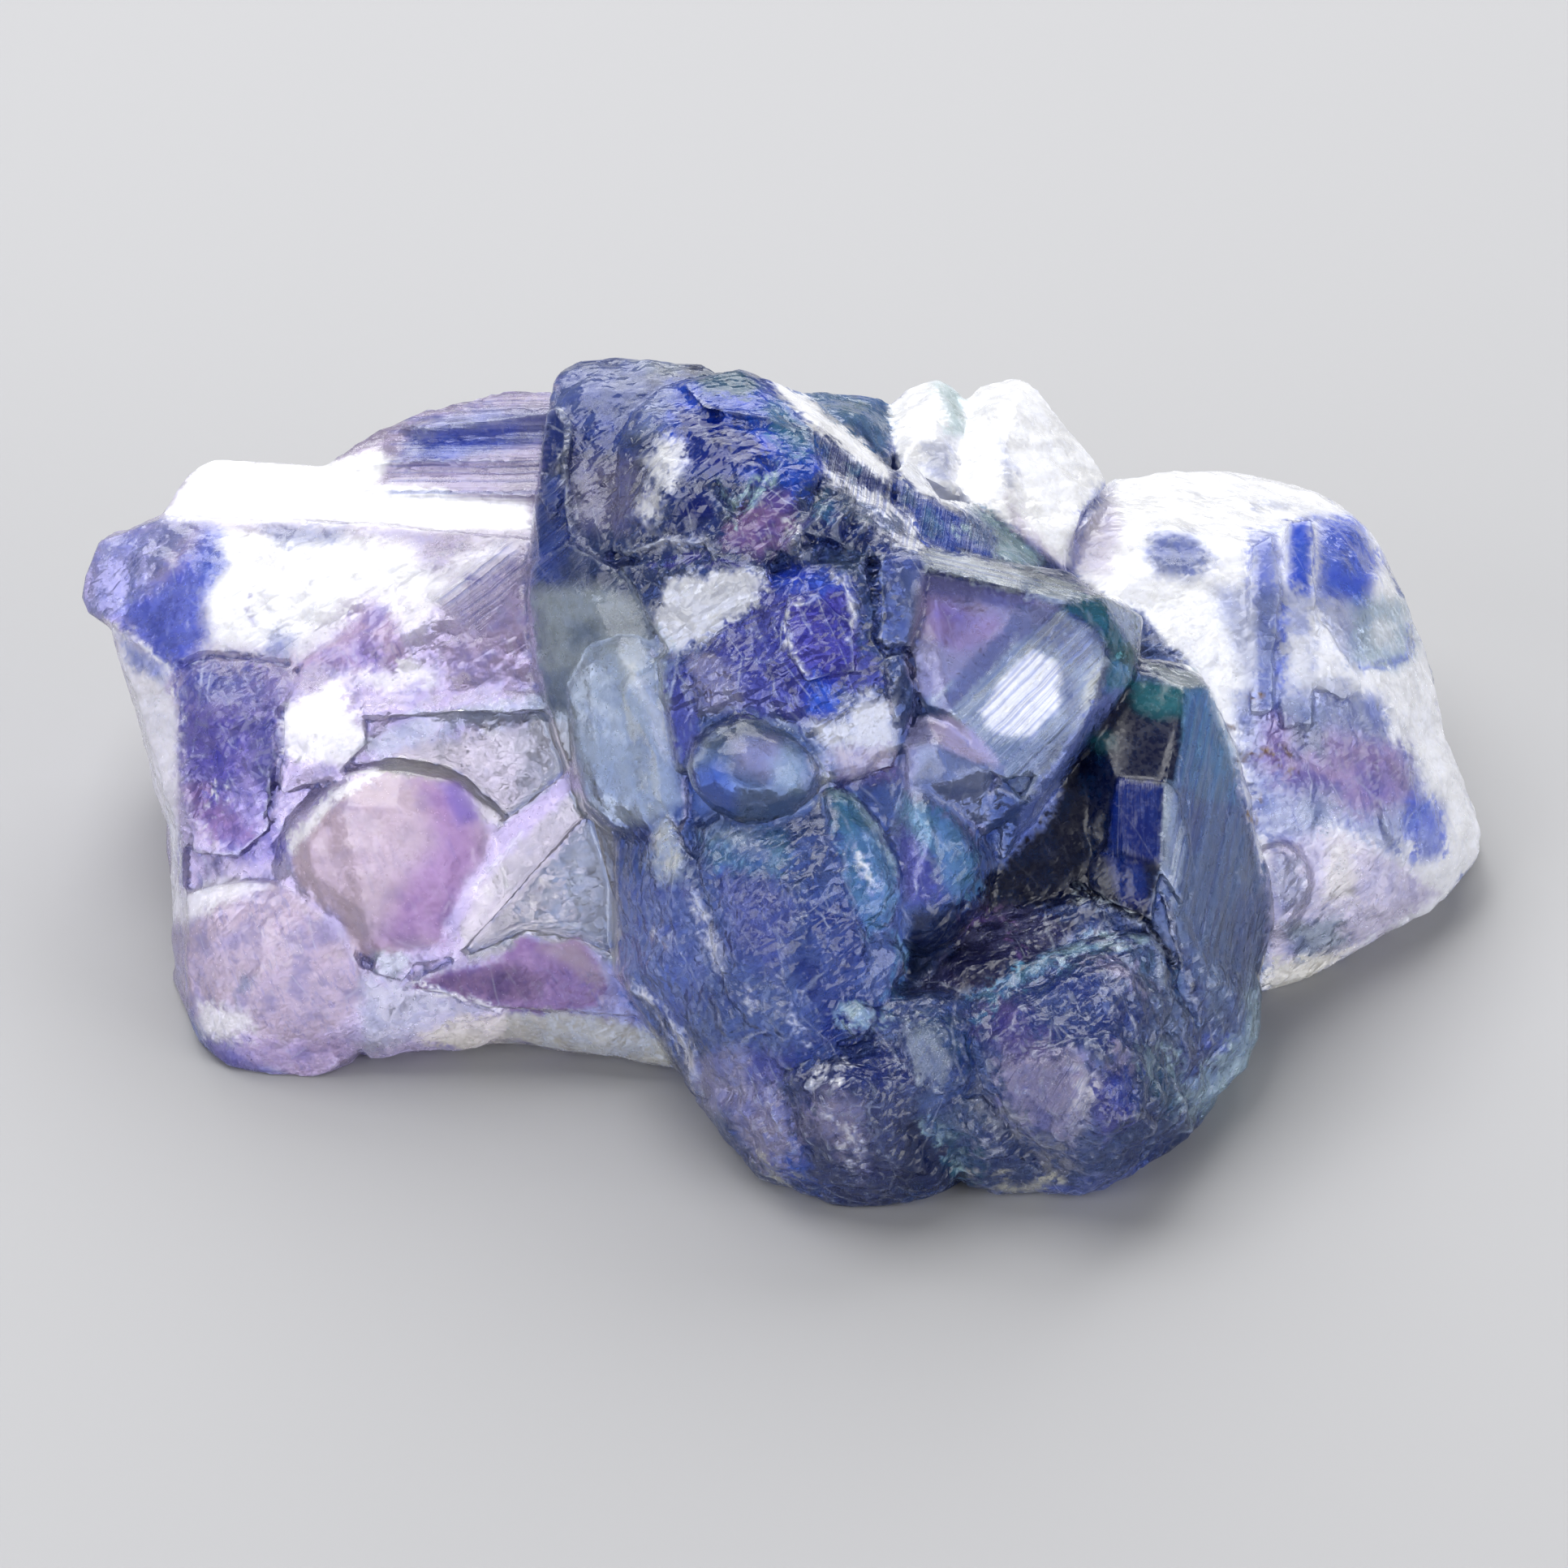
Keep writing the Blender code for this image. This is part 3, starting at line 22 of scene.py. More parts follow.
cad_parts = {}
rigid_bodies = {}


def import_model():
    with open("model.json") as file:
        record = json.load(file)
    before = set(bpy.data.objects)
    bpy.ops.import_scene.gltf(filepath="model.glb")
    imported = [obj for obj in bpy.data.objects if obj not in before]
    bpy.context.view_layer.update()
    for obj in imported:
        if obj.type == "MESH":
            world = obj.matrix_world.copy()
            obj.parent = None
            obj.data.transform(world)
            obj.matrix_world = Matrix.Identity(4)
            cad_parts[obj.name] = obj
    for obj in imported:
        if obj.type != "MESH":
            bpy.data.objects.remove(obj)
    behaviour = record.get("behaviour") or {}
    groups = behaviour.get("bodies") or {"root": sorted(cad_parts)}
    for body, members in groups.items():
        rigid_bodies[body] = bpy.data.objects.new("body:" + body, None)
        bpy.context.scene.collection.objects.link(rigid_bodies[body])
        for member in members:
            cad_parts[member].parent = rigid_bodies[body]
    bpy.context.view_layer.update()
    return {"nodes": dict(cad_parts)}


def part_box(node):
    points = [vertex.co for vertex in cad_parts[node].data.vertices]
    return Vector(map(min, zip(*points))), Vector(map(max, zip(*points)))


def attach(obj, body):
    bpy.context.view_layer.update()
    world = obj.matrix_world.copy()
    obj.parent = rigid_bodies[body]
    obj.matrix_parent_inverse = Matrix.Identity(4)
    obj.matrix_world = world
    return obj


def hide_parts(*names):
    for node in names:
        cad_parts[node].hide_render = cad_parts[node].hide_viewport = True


LOG = logging.getLogger("fluorite")
NODE = "fluorite_cluster"
MM = 0.001
Outline = tuple[tuple[float, float], ...]
Course = tuple[float, float, float]
Socket = bpy.types.NodeSocket
Value = Socket | float | tuple[float, ...]
# A near value in front of the whole stone, and that of the middle of its depth, in millimetres.
FAR = 60.0
MID_DEPTH = -14.0
# How the mineral's cleavage stands against the view.
CLEAVAGE = np.array(Euler((0.62, 0.48, 0.70)).to_matrix())


@dataclass(frozen=True)
class Tint:
    """One colour of the mineral and how clear it is there.

    Attributes:
        shade: Red, green and blue as a screen shows them, 0 to 255.
        clear: How much light passes, from 0 to 1.
        frost: How frosted the surface is, from 0 to 1.
    """

    shade: tuple[int, int, int]
    clear: float
    frost: float = 0.35

    def linear(self) -> np.ndarray:
        """The colour in linear light."""
        share = np.array(self.shade) / 255
        return np.where(share < 0.04045, share / 12.92, ((share + 0.055) / 1.055) ** 2.4)


class Tone(Enum):
    """The colours that the mineral is zoned in. Some pale patches and lines in MILK, MIST and MINT are painted
    highlights.
    """

    MILK = Tint((254, 254, 255), 0.26)
    MIST = Tint((202, 214, 212), 0.40)
    LILAC = Tint((208, 192, 220), 0.38)
    PINK = Tint((182, 160, 170), 0.20)
    ORCHID = Tint((152, 110, 166), 0.24)
    PERIWINKLE = Tint((114, 132, 196), 0.36)
    VIOLET = Tint((80, 68, 176), 0.34)
    BLUE = Tint((28, 90, 230), 0.36)
    SKY = Tint((98, 170, 196), 0.42)
    MINT = Tint((200, 236, 232), 0.40)
    TEAL = Tint((20, 92, 98), 0.34)
    STEEL = Tint((96, 120, 150), 0.40)
    SLATE = Tint((60, 80, 128), 0.42)
    INDIGO = Tint((8, 32, 112), 0.24)
    NAVY = Tint((0, 7, 40), 0.04, 0.6)
    PLUM = Tint((38, 22, 48), 0.20)
    CREAM = Tint((255, 250, 212), 0.34)
    SMOKE = Tint((194, 190, 172), 0.46, 0.15)
    BRASS = Tint((112, 84, 44), 0.06, 0.3)


@dataclass(frozen=True)
class View:
    """How a place in the view is found on the standing stone.

    Attributes:
        elevation: How far above the level the stone is looked at from, in degrees.
        foot_up: The up value at which the front foot meets the ground.
        foot_near: The near value there.
        middle: The x and y, in millimetres, that the stone's origin was moved from.
    """

    elevation: float = 35.0
    foot_up: float = -18.1
    foot_near: float = -2.0
    middle: tuple[float, float] = (-0.05, 19.72)

    def axes(self) -> np.ndarray:
        """The view's right, up and near as rows of unit vectors in the stone's frame."""
        tilt = math.radians(self.elevation)
        return np.array(
            [
                [1.0, 0.0, 0.0],
                [0.0, math.sin(tilt), math.cos(tilt)],
                [0.0, -math.cos(tilt), math.sin(tilt)],
            ]
        )

    def offset(self) -> np.ndarray:
        """What is added to a turned place, so that it counts from the middle of the view."""
        raised = self.axes() @ np.array([self.middle[0], self.middle[1], 0.0])
        return raised + np.array([0.0, self.foot_up, self.foot_near])

    def seen(self, places: np.ndarray) -> np.ndarray:
        """Turns places on the stone into the view.

        Args:
            places: Rows of x, y, z in metres.

        Returns:
            Rows of right, up, near in millimetres.
        """
        return (places / MM) @ self.axes().T + self.offset()

    def standing(self, right: float, up: float, near: float) -> Vector:
        """Turns one place in the view into the stone's frame.

        Args:
            right: Millimetres to the right of the middle of the view.
            up: Millimetres above it.
            near: Millimetres towards the viewer.

        Returns:
            The place in metres.
        """
        place = self.axes().T @ (np.array([right, up, near]) - self.offset())
        return Vector(place * MM)


class Grain:
    """Noise in space, the same on every run."""

    def __init__(self, seed: int) -> None:
        """Shuffles the lattice, as the seed says."""
        chance = np.random.default_rng(seed)
        self.order = chance.permutation(256)
        slopes = chance.normal(size=(256, 3))
        self.slopes = slopes / np.linalg.norm(slopes, axis=1, keepdims=True)
        self.spots = chance.uniform(0.08, 0.92, size=(256, 3))

    def pick(self, cell: np.ndarray) -> np.ndarray:
        """A number from 0 to 255 for each cell."""
        key = cell & 255
        return self.order[(self.order[(self.order[key[:, 0]] + key[:, 1]) & 255] + key[:, 2]) & 255]

    def smooth(self, places: np.ndarray, size: float) -> np.ndarray:
        """One layer of gradient noise.

        Args:
            places: Rows of three coordinates.
            size: The size of its lumps, in the same unit.

        Returns:
            A value for each row, from about -1 to 1.
        """
        scaled = places / size
        cell = np.floor(scaled).astype(np.int64)
        part = scaled - cell
        ease = part * part * part * (part * (part * 6 - 15) + 10)
        total = np.zeros(len(places))
        for corner in np.ndindex(2, 2, 2):
            step = np.array(corner)
            rise = np.einsum("ij,ij->i", self.slopes[self.pick(cell + step)], part - step)
            total += rise * np.prod(np.where(step == 1, ease, 1 - ease), axis=1)
        return total * 1.6

    def layered(self, places: np.ndarray, size: float, layers: int, gain: float = 0.5) -> np.ndarray:
        """Several layers of noise, each half the size of the last.

        Args:
            places: Rows of three coordinates.
            size: The size of the first layer's lumps.
            layers: How many layers there are.
            gain: How strong each layer is against the last.

        Returns:
            A value for each row, from about -1 to 1.
        """
        total = np.zeros(len(places))
        strength = 1.0
        whole = 0.0
        for layer in range(layers):
            total += strength * self.smooth(places + 17.3 * layer, size / 2**layer)
            whole += strength
            strength *= gain
        return total / whole

    def cubes(self, places: np.ndarray, size: float) -> tuple[np.ndarray, np.ndarray]:
        """Fills space with small cubes that stand the same way, as the mineral grows and cleaves.

        Args:
            places: Rows of three coordinates.
            size: The usual distance between cubes.

        Returns:
            How far each row is from its cube's middle, in sizes, and the cube, as a number from 0 to 255.
        """
        scaled = places @ CLEAVAGE.T / size
        base = np.floor(scaled).astype(np.int64)
        nearest = np.full(len(places), 1e9)
        key = np.zeros(len(places), np.int64)
        for corner in np.ndindex(3, 3, 3):
            cell = base + np.array(corner) - 1
            pick = self.pick(cell)
            away = np.abs(scaled - cell - self.spots[pick]).max(axis=1)
            closer = away < nearest
            nearest = np.where(closer, away, nearest)
            key[closer] = pick[closer]
        return nearest, key


def eased(value: np.ndarray, low: float, high: float) -> np.ndarray:
    """Rises smoothly from 0 where the value is low to 1 where it is high."""
    share = np.clip((value - low) / (high - low), 0.0, 1.0)
    return share * share * (3 - 2 * share)


def from_route(flat: np.ndarray, route: np.ndarray) -> np.ndarray:
    """How far places in the view are from a route.

    Args:
        flat: Rows of right, up.
        route: The route's corners.

    Returns:
        A distance for each row.
    """
    away = np.full(len(flat), 1e9)
    for start, end in zip(route, route[1:]):
        run = end - start
        offset = flat - start
        share = np.clip(offset @ run / (run @ run), 0, 1)
        away = np.minimum(away, np.linalg.norm(offset - share[:, None] * run, axis=1))
    return away


@dataclass(frozen=True)
class Patch:
    """A face or a cloud of one tone, drawn as it is seen.

    Attributes:
        tone: Its colour.
        outline: Its corners, right and up in millimetres.
        amount: How much it covers, from 0 to 1.
        soft: How wide its edge is, in millimetres.
        deep: How far it reaches into the stone, in millimetres.
    """

    tone: Tone
    outline: Outline
    amount: float = 1.0
    soft: float = 0.5
    deep: float = 7.0

    def middle(self) -> tuple[float, float]:
        """The mean of its corners."""
        corners = np.array(self.outline)
        return float(corners[:, 0].mean()), float(corners[:, 1].mean())

    def cover(self, seen: np.ndarray, surface: "Surface") -> np.ndarray:
        """How much of each place it covers.

        Args:
            seen: Rows of right, up, near.
            surface: The stone's surface.

        Returns:
            A value for each row, from 0 to the patch's amount.
        """
        corners = np.array(self.outline)
        flat = seen[:, :2]
        inside = np.zeros(len(seen), bool)
        for start, end in zip(corners, np.roll(corners, -1, axis=0)):
            if start[1] != end[1]:
                crosses = (start[1] > flat[:, 1]) != (end[1] > flat[:, 1])
                at = start[0] + (flat[:, 1] - start[1]) * (end[0] - start[0]) / (end[1] - start[1])
                inside ^= crosses & (flat[:, 0] < at)
        away = from_route(flat, np.vstack([corners, corners[:1]]))
        signed = np.where(inside, away, -away)
        near = surface.near(*self.middle())
        behind = eased(near - seen[:, 2], self.deep * 0.7, self.deep * 1.3)
        return self.amount * eased(signed, -self.soft, self.soft) * (1 - behind)


@dataclass(frozen=True)
class Streak:
    """A line of one tone, drawn as it is seen.

    Attributes:
        tone: Its colour.
        route: Its corners, right and up in millimetres.
        wide: Half its width.
        amount: How much it covers, from 0 to 1.
        deep: How far it reaches into the stone, in millimetres.
    """

    tone: Tone
    route: Outline
    wide: float = 0.12
    amount: float = 0.9
    deep: float = 5.0

    def cover(self, seen: np.ndarray, surface: "Surface") -> np.ndarray:
        """How much of each place it covers.

        Args:
            seen: Rows of right, up, near.
            surface: The stone's surface.

        Returns:
            A value for each row, from 0 to the streak's amount.
        """
        away = from_route(seen[:, :2], np.array(self.route))
        near = surface.near(*self.route[len(self.route) // 2])
        behind = eased(near - seen[:, 2], self.deep * 0.7, self.deep * 1.3)
        return self.amount * (1 - eased(away, 0.4 * self.wide, 1.3 * self.wide)) * (1 - behind)


def corners(text: str) -> Outline:
    """Reads corners that are written as pairs of right and up, in tenths of a millimetre."""
    pairs = [pair.split(",") for pair in text.split()]
    return tuple((float(right) / 10, float(up) / 10) for right, up in pairs)


def drawn(text: str) -> tuple[Patch | Streak, ...]:
    """Reads patches and streaks.

    Each starts with its tone. A patch goes on with its amount and how soft it is, and a streak with the word
    line, half its width and its amount. How deep it reaches comes next, where that isn't the usual depth. Its
    corners follow the colon.

    Args:
        text: What is drawn, in the order that it is laid on.

    Returns:
        The patches and streaks.
    """
    marks: list[Patch | Streak] = []
    for tone, line, sizes, places in re.findall(r"([A-Z]+)( line)?([\d. ]+):([-\d.,\s]+)", text):
        kind = Streak if line else Patch
        marks.append(kind(Tone[tone], corners(places), *(float(size) for size in sizes.split())))
    return tuple(marks)


# The left lobe: milky crystal with blue and violet clouds, the dome and the two smoky windows.
LEFT_LOBE = drawn(
    """
LILAC 1 0.4 60: -310,60 -295,110 -250,148 -170,170 -97,180 -105,120 -108,80 -100,34 -90,10 -72,-30 -70,-90
  -46,-128 -200,-135 -270,-90 -275,0
MILK 1 0.3 16: -270,113 -250,142 -200,139 -175,144 -140,124 -110,122 -108,109 -150,109 -190,112
MILK 1 0.7: -246,110 -190,110 -160,102 -148,84 -180,80 -210,56 -246,58 -252,80
MILK 0.7 0.7: -210,56 -190,72 -125,106 -110,104 -140,82 -160,60 -170,52
MILK 0.95 0.25: -216,32 -192,45 -184,30 -179,17 -188,8 -215,10
MILK 0.8 0.4: -192,47 -160,54 -144,45 -170,39
PERIWINKLE 0.75 0.4: -303,74 -295,105 -270,114 -252,112 -266,94 -284,72 -296,69
BLUE 0.75 0.5: -288,72 -276,82 -260,93 -249,112 -242,108 -243,92 -250,80 -248,62 -257,51 -266,49 -278,60
INDIGO 0.55 0.4: -276,74 -266,79 -262,60 -266,51 -274,60
BLUE 0.6 0.25: -246,102 -238,95 -246,85 -251,88
PERIWINKLE 0.6 0.35: -225,111 -188,111 -192,103 -218,102
PERIWINKLE 0.6 0.3: -220,66 -209,64 -213,53 -223,55
INDIGO line 0.1 0.8: -260,51 -250,53 -236,56 -224,53
VIOLET line 0.08 0.6: -231,80 -230,74 -227,68
VIOLET 0.68 0.35: -260,50 -219,50 -215,35 -217,10 -220,-15 -210,-33 -234,-34 -252,-18 -260,5
INDIGO 0.7 0.4: -236,28 -219,32 -216,10 -220,-13 -226,0
VIOLET 0.7 0.5: -256,30 -240,30 -230,8 -246,-6 -258,6
ORCHID 0.7 0.4: -257,-3 -240,-5 -226,-26 -248,-24
PERIWINKLE 0.5 0.5: -258,50 -230,51 -224,38 -250,36
INDIGO 0.6 0.25: -251,-31 -239,-33 -245,-41 -251,-50
MILK line 0.09 0.85: -252,-17 -244,-11 -238,1
MILK 0.8 0.25: -292,70 -264,48 -260,30 -260,-10 -259,-60 -266,-60 -276,10 -284,46
PERIWINKLE 0.7 0.25: -287,64 -270,52 -265,43 -280,50
MILK line 0.12 0.9: -290,69 -276,60 -263,49
ORCHID 0.72 0.4: -209,51 -193,63 -178,79 -168,73 -161,58 -170,48 -185,49
VIOLET 0.45 0.35: -186,60 -176,63 -170,51 -182,49
ORCHID 0.26 0.7: -150,42 -110,46 -102,60 -108,80 -126,72 -146,58
VIOLET line 0.1 0.6: -136,86 -126,88 -119,91 -114,97
PERIWINKLE 0.8 0.35: -166,140 -160,154 -130,162 -98,161 -98,148 -145,138
BLUE 0.6 0.3: -158,141 -150,151 -114,155 -116,149 -144,140
LILAC 0.8 0.2: -175,129 -102,124 -102,138 -170,138
MIST 0.8 0.2: -182,18 -155,30 -102,39 -92,30 -92,26 -140,24 -175,10
SMOKE 0.9 0.1: -176,8 -155,19 -110,27 -91,27 -90,10 -99,1 -112,-11 -122,-18 -131,-15 -134,-4 -140,1 -152,2
  -170,4
SMOKE 1 0.1: -89,-2 -84,-12 -73,-20 -71,-35 -72,-81 -83,-69 -98,-69 -110,-64 -120,-72 -136,-76 -141,-60
  -128,-40 -113,-23 -98,-8
PINK 0.85 0.12: -213,-26 -195,-7 -176,5 -152,2 -140,1 -132,-12 -126,-20 -130,-40 -142,-60 -148,-70 -175,-73
  -184,-74 -190,-58 -208,-44
ORCHID 0.85 0.8: -156,1 -139,1 -131,-13 -128,-35 -145,-68 -176,-70 -165,-45 -150,-25
VIOLET 0.5 0.3: -148,1 -139,1 -130,-15 -140,-18
MILK line 0.3 0.8: -212,-27 -194,-6 -176,5
LILAC line 0.35 0.9: -88,4 -110,-17 -133,-42 -143,-63
MILK line 0.1 0.7: -112,-21 -133,-44
ORCHID 0.9 0.12: -162,-85 -143,-80 -123,-76 -113,-65 -98,-69 -88,-65 -80,-76 -76,-90 -78,-95 -100,-99
  -120,-96
PLUM 0.55 0.35: -160,-84 -130,-80 -116,-76 -100,-84 -106,-92 -124,-93
PINK 0.8 0.3: -106,-70 -88,-67 -78,-82 -80,-90 -92,-78
MIST 0.55 0.3: -183,-82 -162,-87 -123,-97 -145,-102 -165,-111 -180,-117
MILK line 0.09 1: -162,-86 -140,-91 -122,-97 -114,-99
MIST 0.8 0.12: -176,-72 -160,-73 -163,-84 -176,-80
PINK 0.6 0.3: -258,-54 -235,-42 -215,-43 -200,-52 -190,-68 -182,-78 -180,-90 -190,-105 -200,-110 -248,-110
  -259,-90
MILK 0.75 0.3: -259,-46 -240,-40 -224,-43 -240,-52 -258,-60
MILK 0.8 0.35: -250,-109 -228,-109 -229,-99 -252,-93
ORCHID 0.45 0.3: -250,-111 -190,-109 -184,-116 -203,-127 -240,-123
STEEL 0.7 0.25: -233,-82 -227,-83 -229,-88 -234,-89
CREAM 0.8 0.2: -158,-109 -140,-100 -122,-99 -100,-98 -75,-100 -52,-108 -44,-124 -70,-120 -114,-112 -135,-116
"""
)

# The middle: the knob, the milky flank, the violet zone, the round crystals and the body.
# The pale mist patch at the knob's top, -66,184 to -43,182, and the milk line from 31,-28 to 38,-44 are painted
# highlights.
CENTRE = drawn(
    """
SLATE 1 0.2 60: -98,166 -103,150 -105,125 -109,92 -106,65 -103,42 -92,27 -86,3 -84,-11 -73,-17 -72,-70
  -66,-90 -50,-115 -42,-130 -20,-170 40,-190 176,-160 206,-120 209,-60 195,0 180,43 154,72 136,80 90,115
  48,140 0,171 -20,180 -43,183 -70,188 -98,180
PERIWINKLE 0.75 0.25: -100,163 -97,178 -85,185 -60,186 -42,182 -43,174 -55,172 -65,162 -69,152 -90,150
MIST 0.5 0.2: -66,184 -43,182 -45,175 -60,176
BLUE 0.35 0.4: -92,160 -70,160 -68,144 -90,142
LILAC 0.4 0.6: -90,140 -64,140 -59,120 -68,108 -86,110 -90,126
INDIGO 0.6 0.15: -105,142 -100,159 -95,160 -93,144 -98,135 -105,134
BLUE 0.35 0.3: -109,86 -105,132 -97,133 -92,104 -96,88
MILK line 0.08 0.7: -97,160 -92.5,155 -92,149 -95,140 -98,135
MILK line 0.1 0.55: -94,134 -93,120 -89,104
BLUE 0.85 0.35: -68,152 -63,164 -50,173 -20,178 -5,169 10,156 14,148 18,134 6,121 -3,128 -24,132 -45,134
  -50,150
MIST 0.4 0.35: -68,148 -62,163 -50,169 -46,160 -56,149
TEAL 0.85 0.25: -39,174 -20,179 -9,170 -16,165 -34,168
INDIGO 0.95 0.35: -49,161 -30,161 -16,152 -6,141 -10,134 -28,132 -42,134 -44,150
SKY 0.75 0.35: -14,164 -2,164 11,152 13,143 4,139 -4,150
BLUE 0.7 0.2: -30,166 -10,164 -4,154 -22,159
NAVY 0.6 0.25: -31,151 -24,148 -22,142 -30,143
NAVY 0.9 0.25: -44,124 -34,126 -29,119 -32,113 -42,117
INDIGO 0.65 0.4: -46,136 -34,132 -27,112 -46,110 -50,120
MILK 0.78 0.22: -53,150 -46,148 -42,140 -48,132 -51,124 -52,115 -58,111 -65,116 -61,124 -56,132 -62,138
  -56,143
ORCHID 0.7 0.35: -21,116 -10,126 3,124 6,115 2,102 -10,97 -28,102
MINT 0.95 0.1: -22,112 -18,124 -13,130 -6,130 -2,140 -4,129 -13,122
MINT line 0.11 0.95: -28,128 -25.5,123 -21,118 -22,110
INDIGO line 0.25 0.5: -62,113 -45,109 -28,108
MILK line 0.22 0.6: -67,100 -50,103 -34,104
VIOLET line 0.1 0.7: -56,92 -36,99 -30,95 -18,93
MILK 0.8 0.15: -57,70 -50,88 -35,91 -15,92 -8,89 -10,80 -16,73 -36,60 -52,54
MIST 0.85 0.35: -108,84 -80,86 -64,80 -50,56 -51,30 -47,8 -43,-6 -54,-16 -71,-18 -84,-11 -88,5 -93,27
  -101,35 -106,50
STEEL 0.6 0.4: -92,69 -80,69 -78,60 -90,58
STEEL 0.6 0.25: -104,48 -91,50 -92,31 -100,33
MILK 0.5 0.3: -63,50 -51,30 -48,10 -56,26 -70,54
MIST line 0.14 0.8: -70,91 -63,80 -56,68 -48,56
VIOLET 0.6 0.3: -34,60 -15,73 -8,87 2,92 15,93 26,88 32,70 32,62 39,54 43,43 25,39 24,29 5,26 -4,29 -18,30
  -20,44
VIOLET 0.65 0.4: 2,50 1,80 29,83 30,62 28,50 15,43
BLUE 0.6 0.3: 6,93 23,92 29,84 12,81 -6,83 -8,90
INDIGO 0.5 0.3: 18,76 29,76 29,64 20,62
BLUE 0.75 0.25: 9,30 10,47 22,46 25,34 24,29
VIOLET 0.5 0.25: -51,50 -42,48 -36,30 -39,14 -46,9 -50,30
LILAC 0.55 0.35: -46,55 -30,56 -18,42 -19,32 -34,32 -40,46
MILK 0.75 0.3: 10,26 26,28 32,40 47,34 49,12 32,2 20,4 17,14
ORCHID 0.45 0.3: 20,16 48,16 49,2 22,0
PERIWINKLE 0.6 0.15: 40,96 47,101 59,99 59,90 54,70 53,57 45,56 41,66
STEEL 0.6 0.25: 6,97 26,101 39,97 37,80 31,86 26,91 18,94
MILK line 0.09 0.9: 10,79.5 2.5,77 0.5,66 3,58 8,50
MILK line 0.1 0.85: 22,91 26,86 30,76 31,62
MILK line 0.08 0.8: -14,70 -11.5,63
NAVY line 0.13 0.95: 38,95 38.5,80 40.5,67 39.5,60 44,55 51,57
STEEL 0.7 0.12: -41,6 -32,19 -14,27.5 4,24 14,13 18,0 12,-11 -2,-17 -24,-16 -38,-7
LILAC 0.5 0.5: -22,19 -4,20 3,10 -6,2 -20,6
BLUE 0.45 0.4: -40,5 -28,9 -20,-2 -22,-14 -36,-7
MINT 0.35 0.4: -6,9 2,18 10,8 6,-4 -4,0
CREAM line 0.16 0.5: 13,11 17.5,0 13,-9
MIST line 0.12 0.5: -41,5 -31,20 -13,28 5,24 16,11
SKY 0.45 0.35: -34,-20 -26,-18 0,-20 4,-36 -10,-39 -32,-34
MIST 0.5 0.3: -34,-20 -12,-19 -6,-34 -20,-28
VIOLET 0.3 0.6: -30,-38 -6,-42 6,-52 -4,-84 -22,-68
INDIGO 0.55 0.4: 8,-46 29,-48 34,-64 34,-84 22,-109 11,-113 7,-82
PERIWINKLE 0.5 0.5: -71,-40 -42,-44 -33,-80 -45,-108 -69,-80
SKY 0.55 0.15: 19,-2 30,-5 40,-19 49,-36 48,-50 43,-62 35,-64 30,-50 23,-24
TEAL 0.55 0.25: 19,-2 29,-6 34,-16 26,-22 20,-14
MINT line 0.14 0.8: 22,-3 31,-8 40,-20 47.5,-36
MILK line 0.16 0.9: 31,-28 35,-38 38,-44
MIST 0.7 0.12: -55,-18 -46,-10 -44,-24 -41,-36 -47,-46 -52,-43 -58,-36 -57,-26
CREAM 0.5 0.2: -56,-22 -48,-16 -45,-34 -51,-40
MILK line 0.24 0.65: -39,-46 -33,-60 -27,-79
MILK line 0.2 0.75: -64,-86 -50,-100 -41,-114 -37,-132
MILK line 0.16 0.5: -56,-62 -50,-70
MILK line 0.08 0.7: -3,-90 5,-104 12,-116
MILK line 0.12 0.5: -17,-88 -12,-99
LILAC 0.5 0.4: -40,-120 -18,-112 -6,-128 -18,-140 -34,-140
VIOLET 0.4 0.3: -14,-114 8,-114 0,-128 -16,-126
INDIGO 0.75 0.3: 13,-112 16,-98 24,-90 39,-90 44,-103 34,-111
MINT 0.85 0.15: 22,-99 27,-93 34,-94 38,-98 36,-105 29,-106
MINT line 0.12 0.7: 41,-100 49,-102
"""
)

# The ledges that run down to the right from the knob.
# The four thin milk strips along the ledge tops are painted highlights, where light from behind glints.
STAIRS = drawn(
    """
SKY 0.45 0.3 14: 4,170 45,168 46,150 43,142 20,154
TEAL 0.6 0.25 14: 21,162 34,165 36,160 24,158
INDIGO 0.55 0.12: 13,152 25,143 40,131 46,130 44,122 35,126 17,138
SKY 0.6 0.15: 29,137 32,135 31,129 28,130
SKY 0.4 0.15: 15,147 19,144 18,138
BLUE 0.5 0.12: 47,135 54,127 63,122 76,116 80,119 90,112 90,97 61,102 58,108 54,116 48,120
TEAL 0.6 0.15: 51,128 56,126 57,119 52,120
SKY 0.55 0.2: 60,118 66,116 68,106 61,106
TEAL 0.5 0.25: 76,119 82,119 90,110 89,100 82,102
MINT 0.9 0.08: 72,111 75,110 74,106 72,107
MINT 0.9 0.08: 77.5,111 80.5,110 80,106 77.5,107
STEEL 0.8 0.1: 29,122 49,114 51,110 46,108 38,112 32,116
INDIGO 0.55 0.2: 34,112 46,104 47,100 34,101 14,100 5,108 18,116
SKY 0.6 0.15: 12,123 18,124 20,115 14,112
STEEL 0.7 0.12: 20,125 28,124 30,114 22,114
MILK line 0.1 0.85: 3,114 5,107 9,101
MINT 0.8 0.15 12: 78,122 90,115 110,98 109,92 90,97 90,110 80,118
MILK 1 0.07: -9,175 -2,173 16,162 19,157 32,149 47.5,133 46,129.5 40,132 25,144 12,154 2,162
MILK 0.9 0.07: 47,137.5 53,139 66,132 80,124 82,120 76,117 64,122 55,126
MILK 0.95 0.07: 15,137 23,133 36,126 50,118 56,112 57.5,106 53,105 51,113 32,120 28,124 20,130
MILK 0.9 0.07: 30,116.5 40,113.5 46,108.5 61,103 61,99.5 55,99 46,104 40,109
"""
)

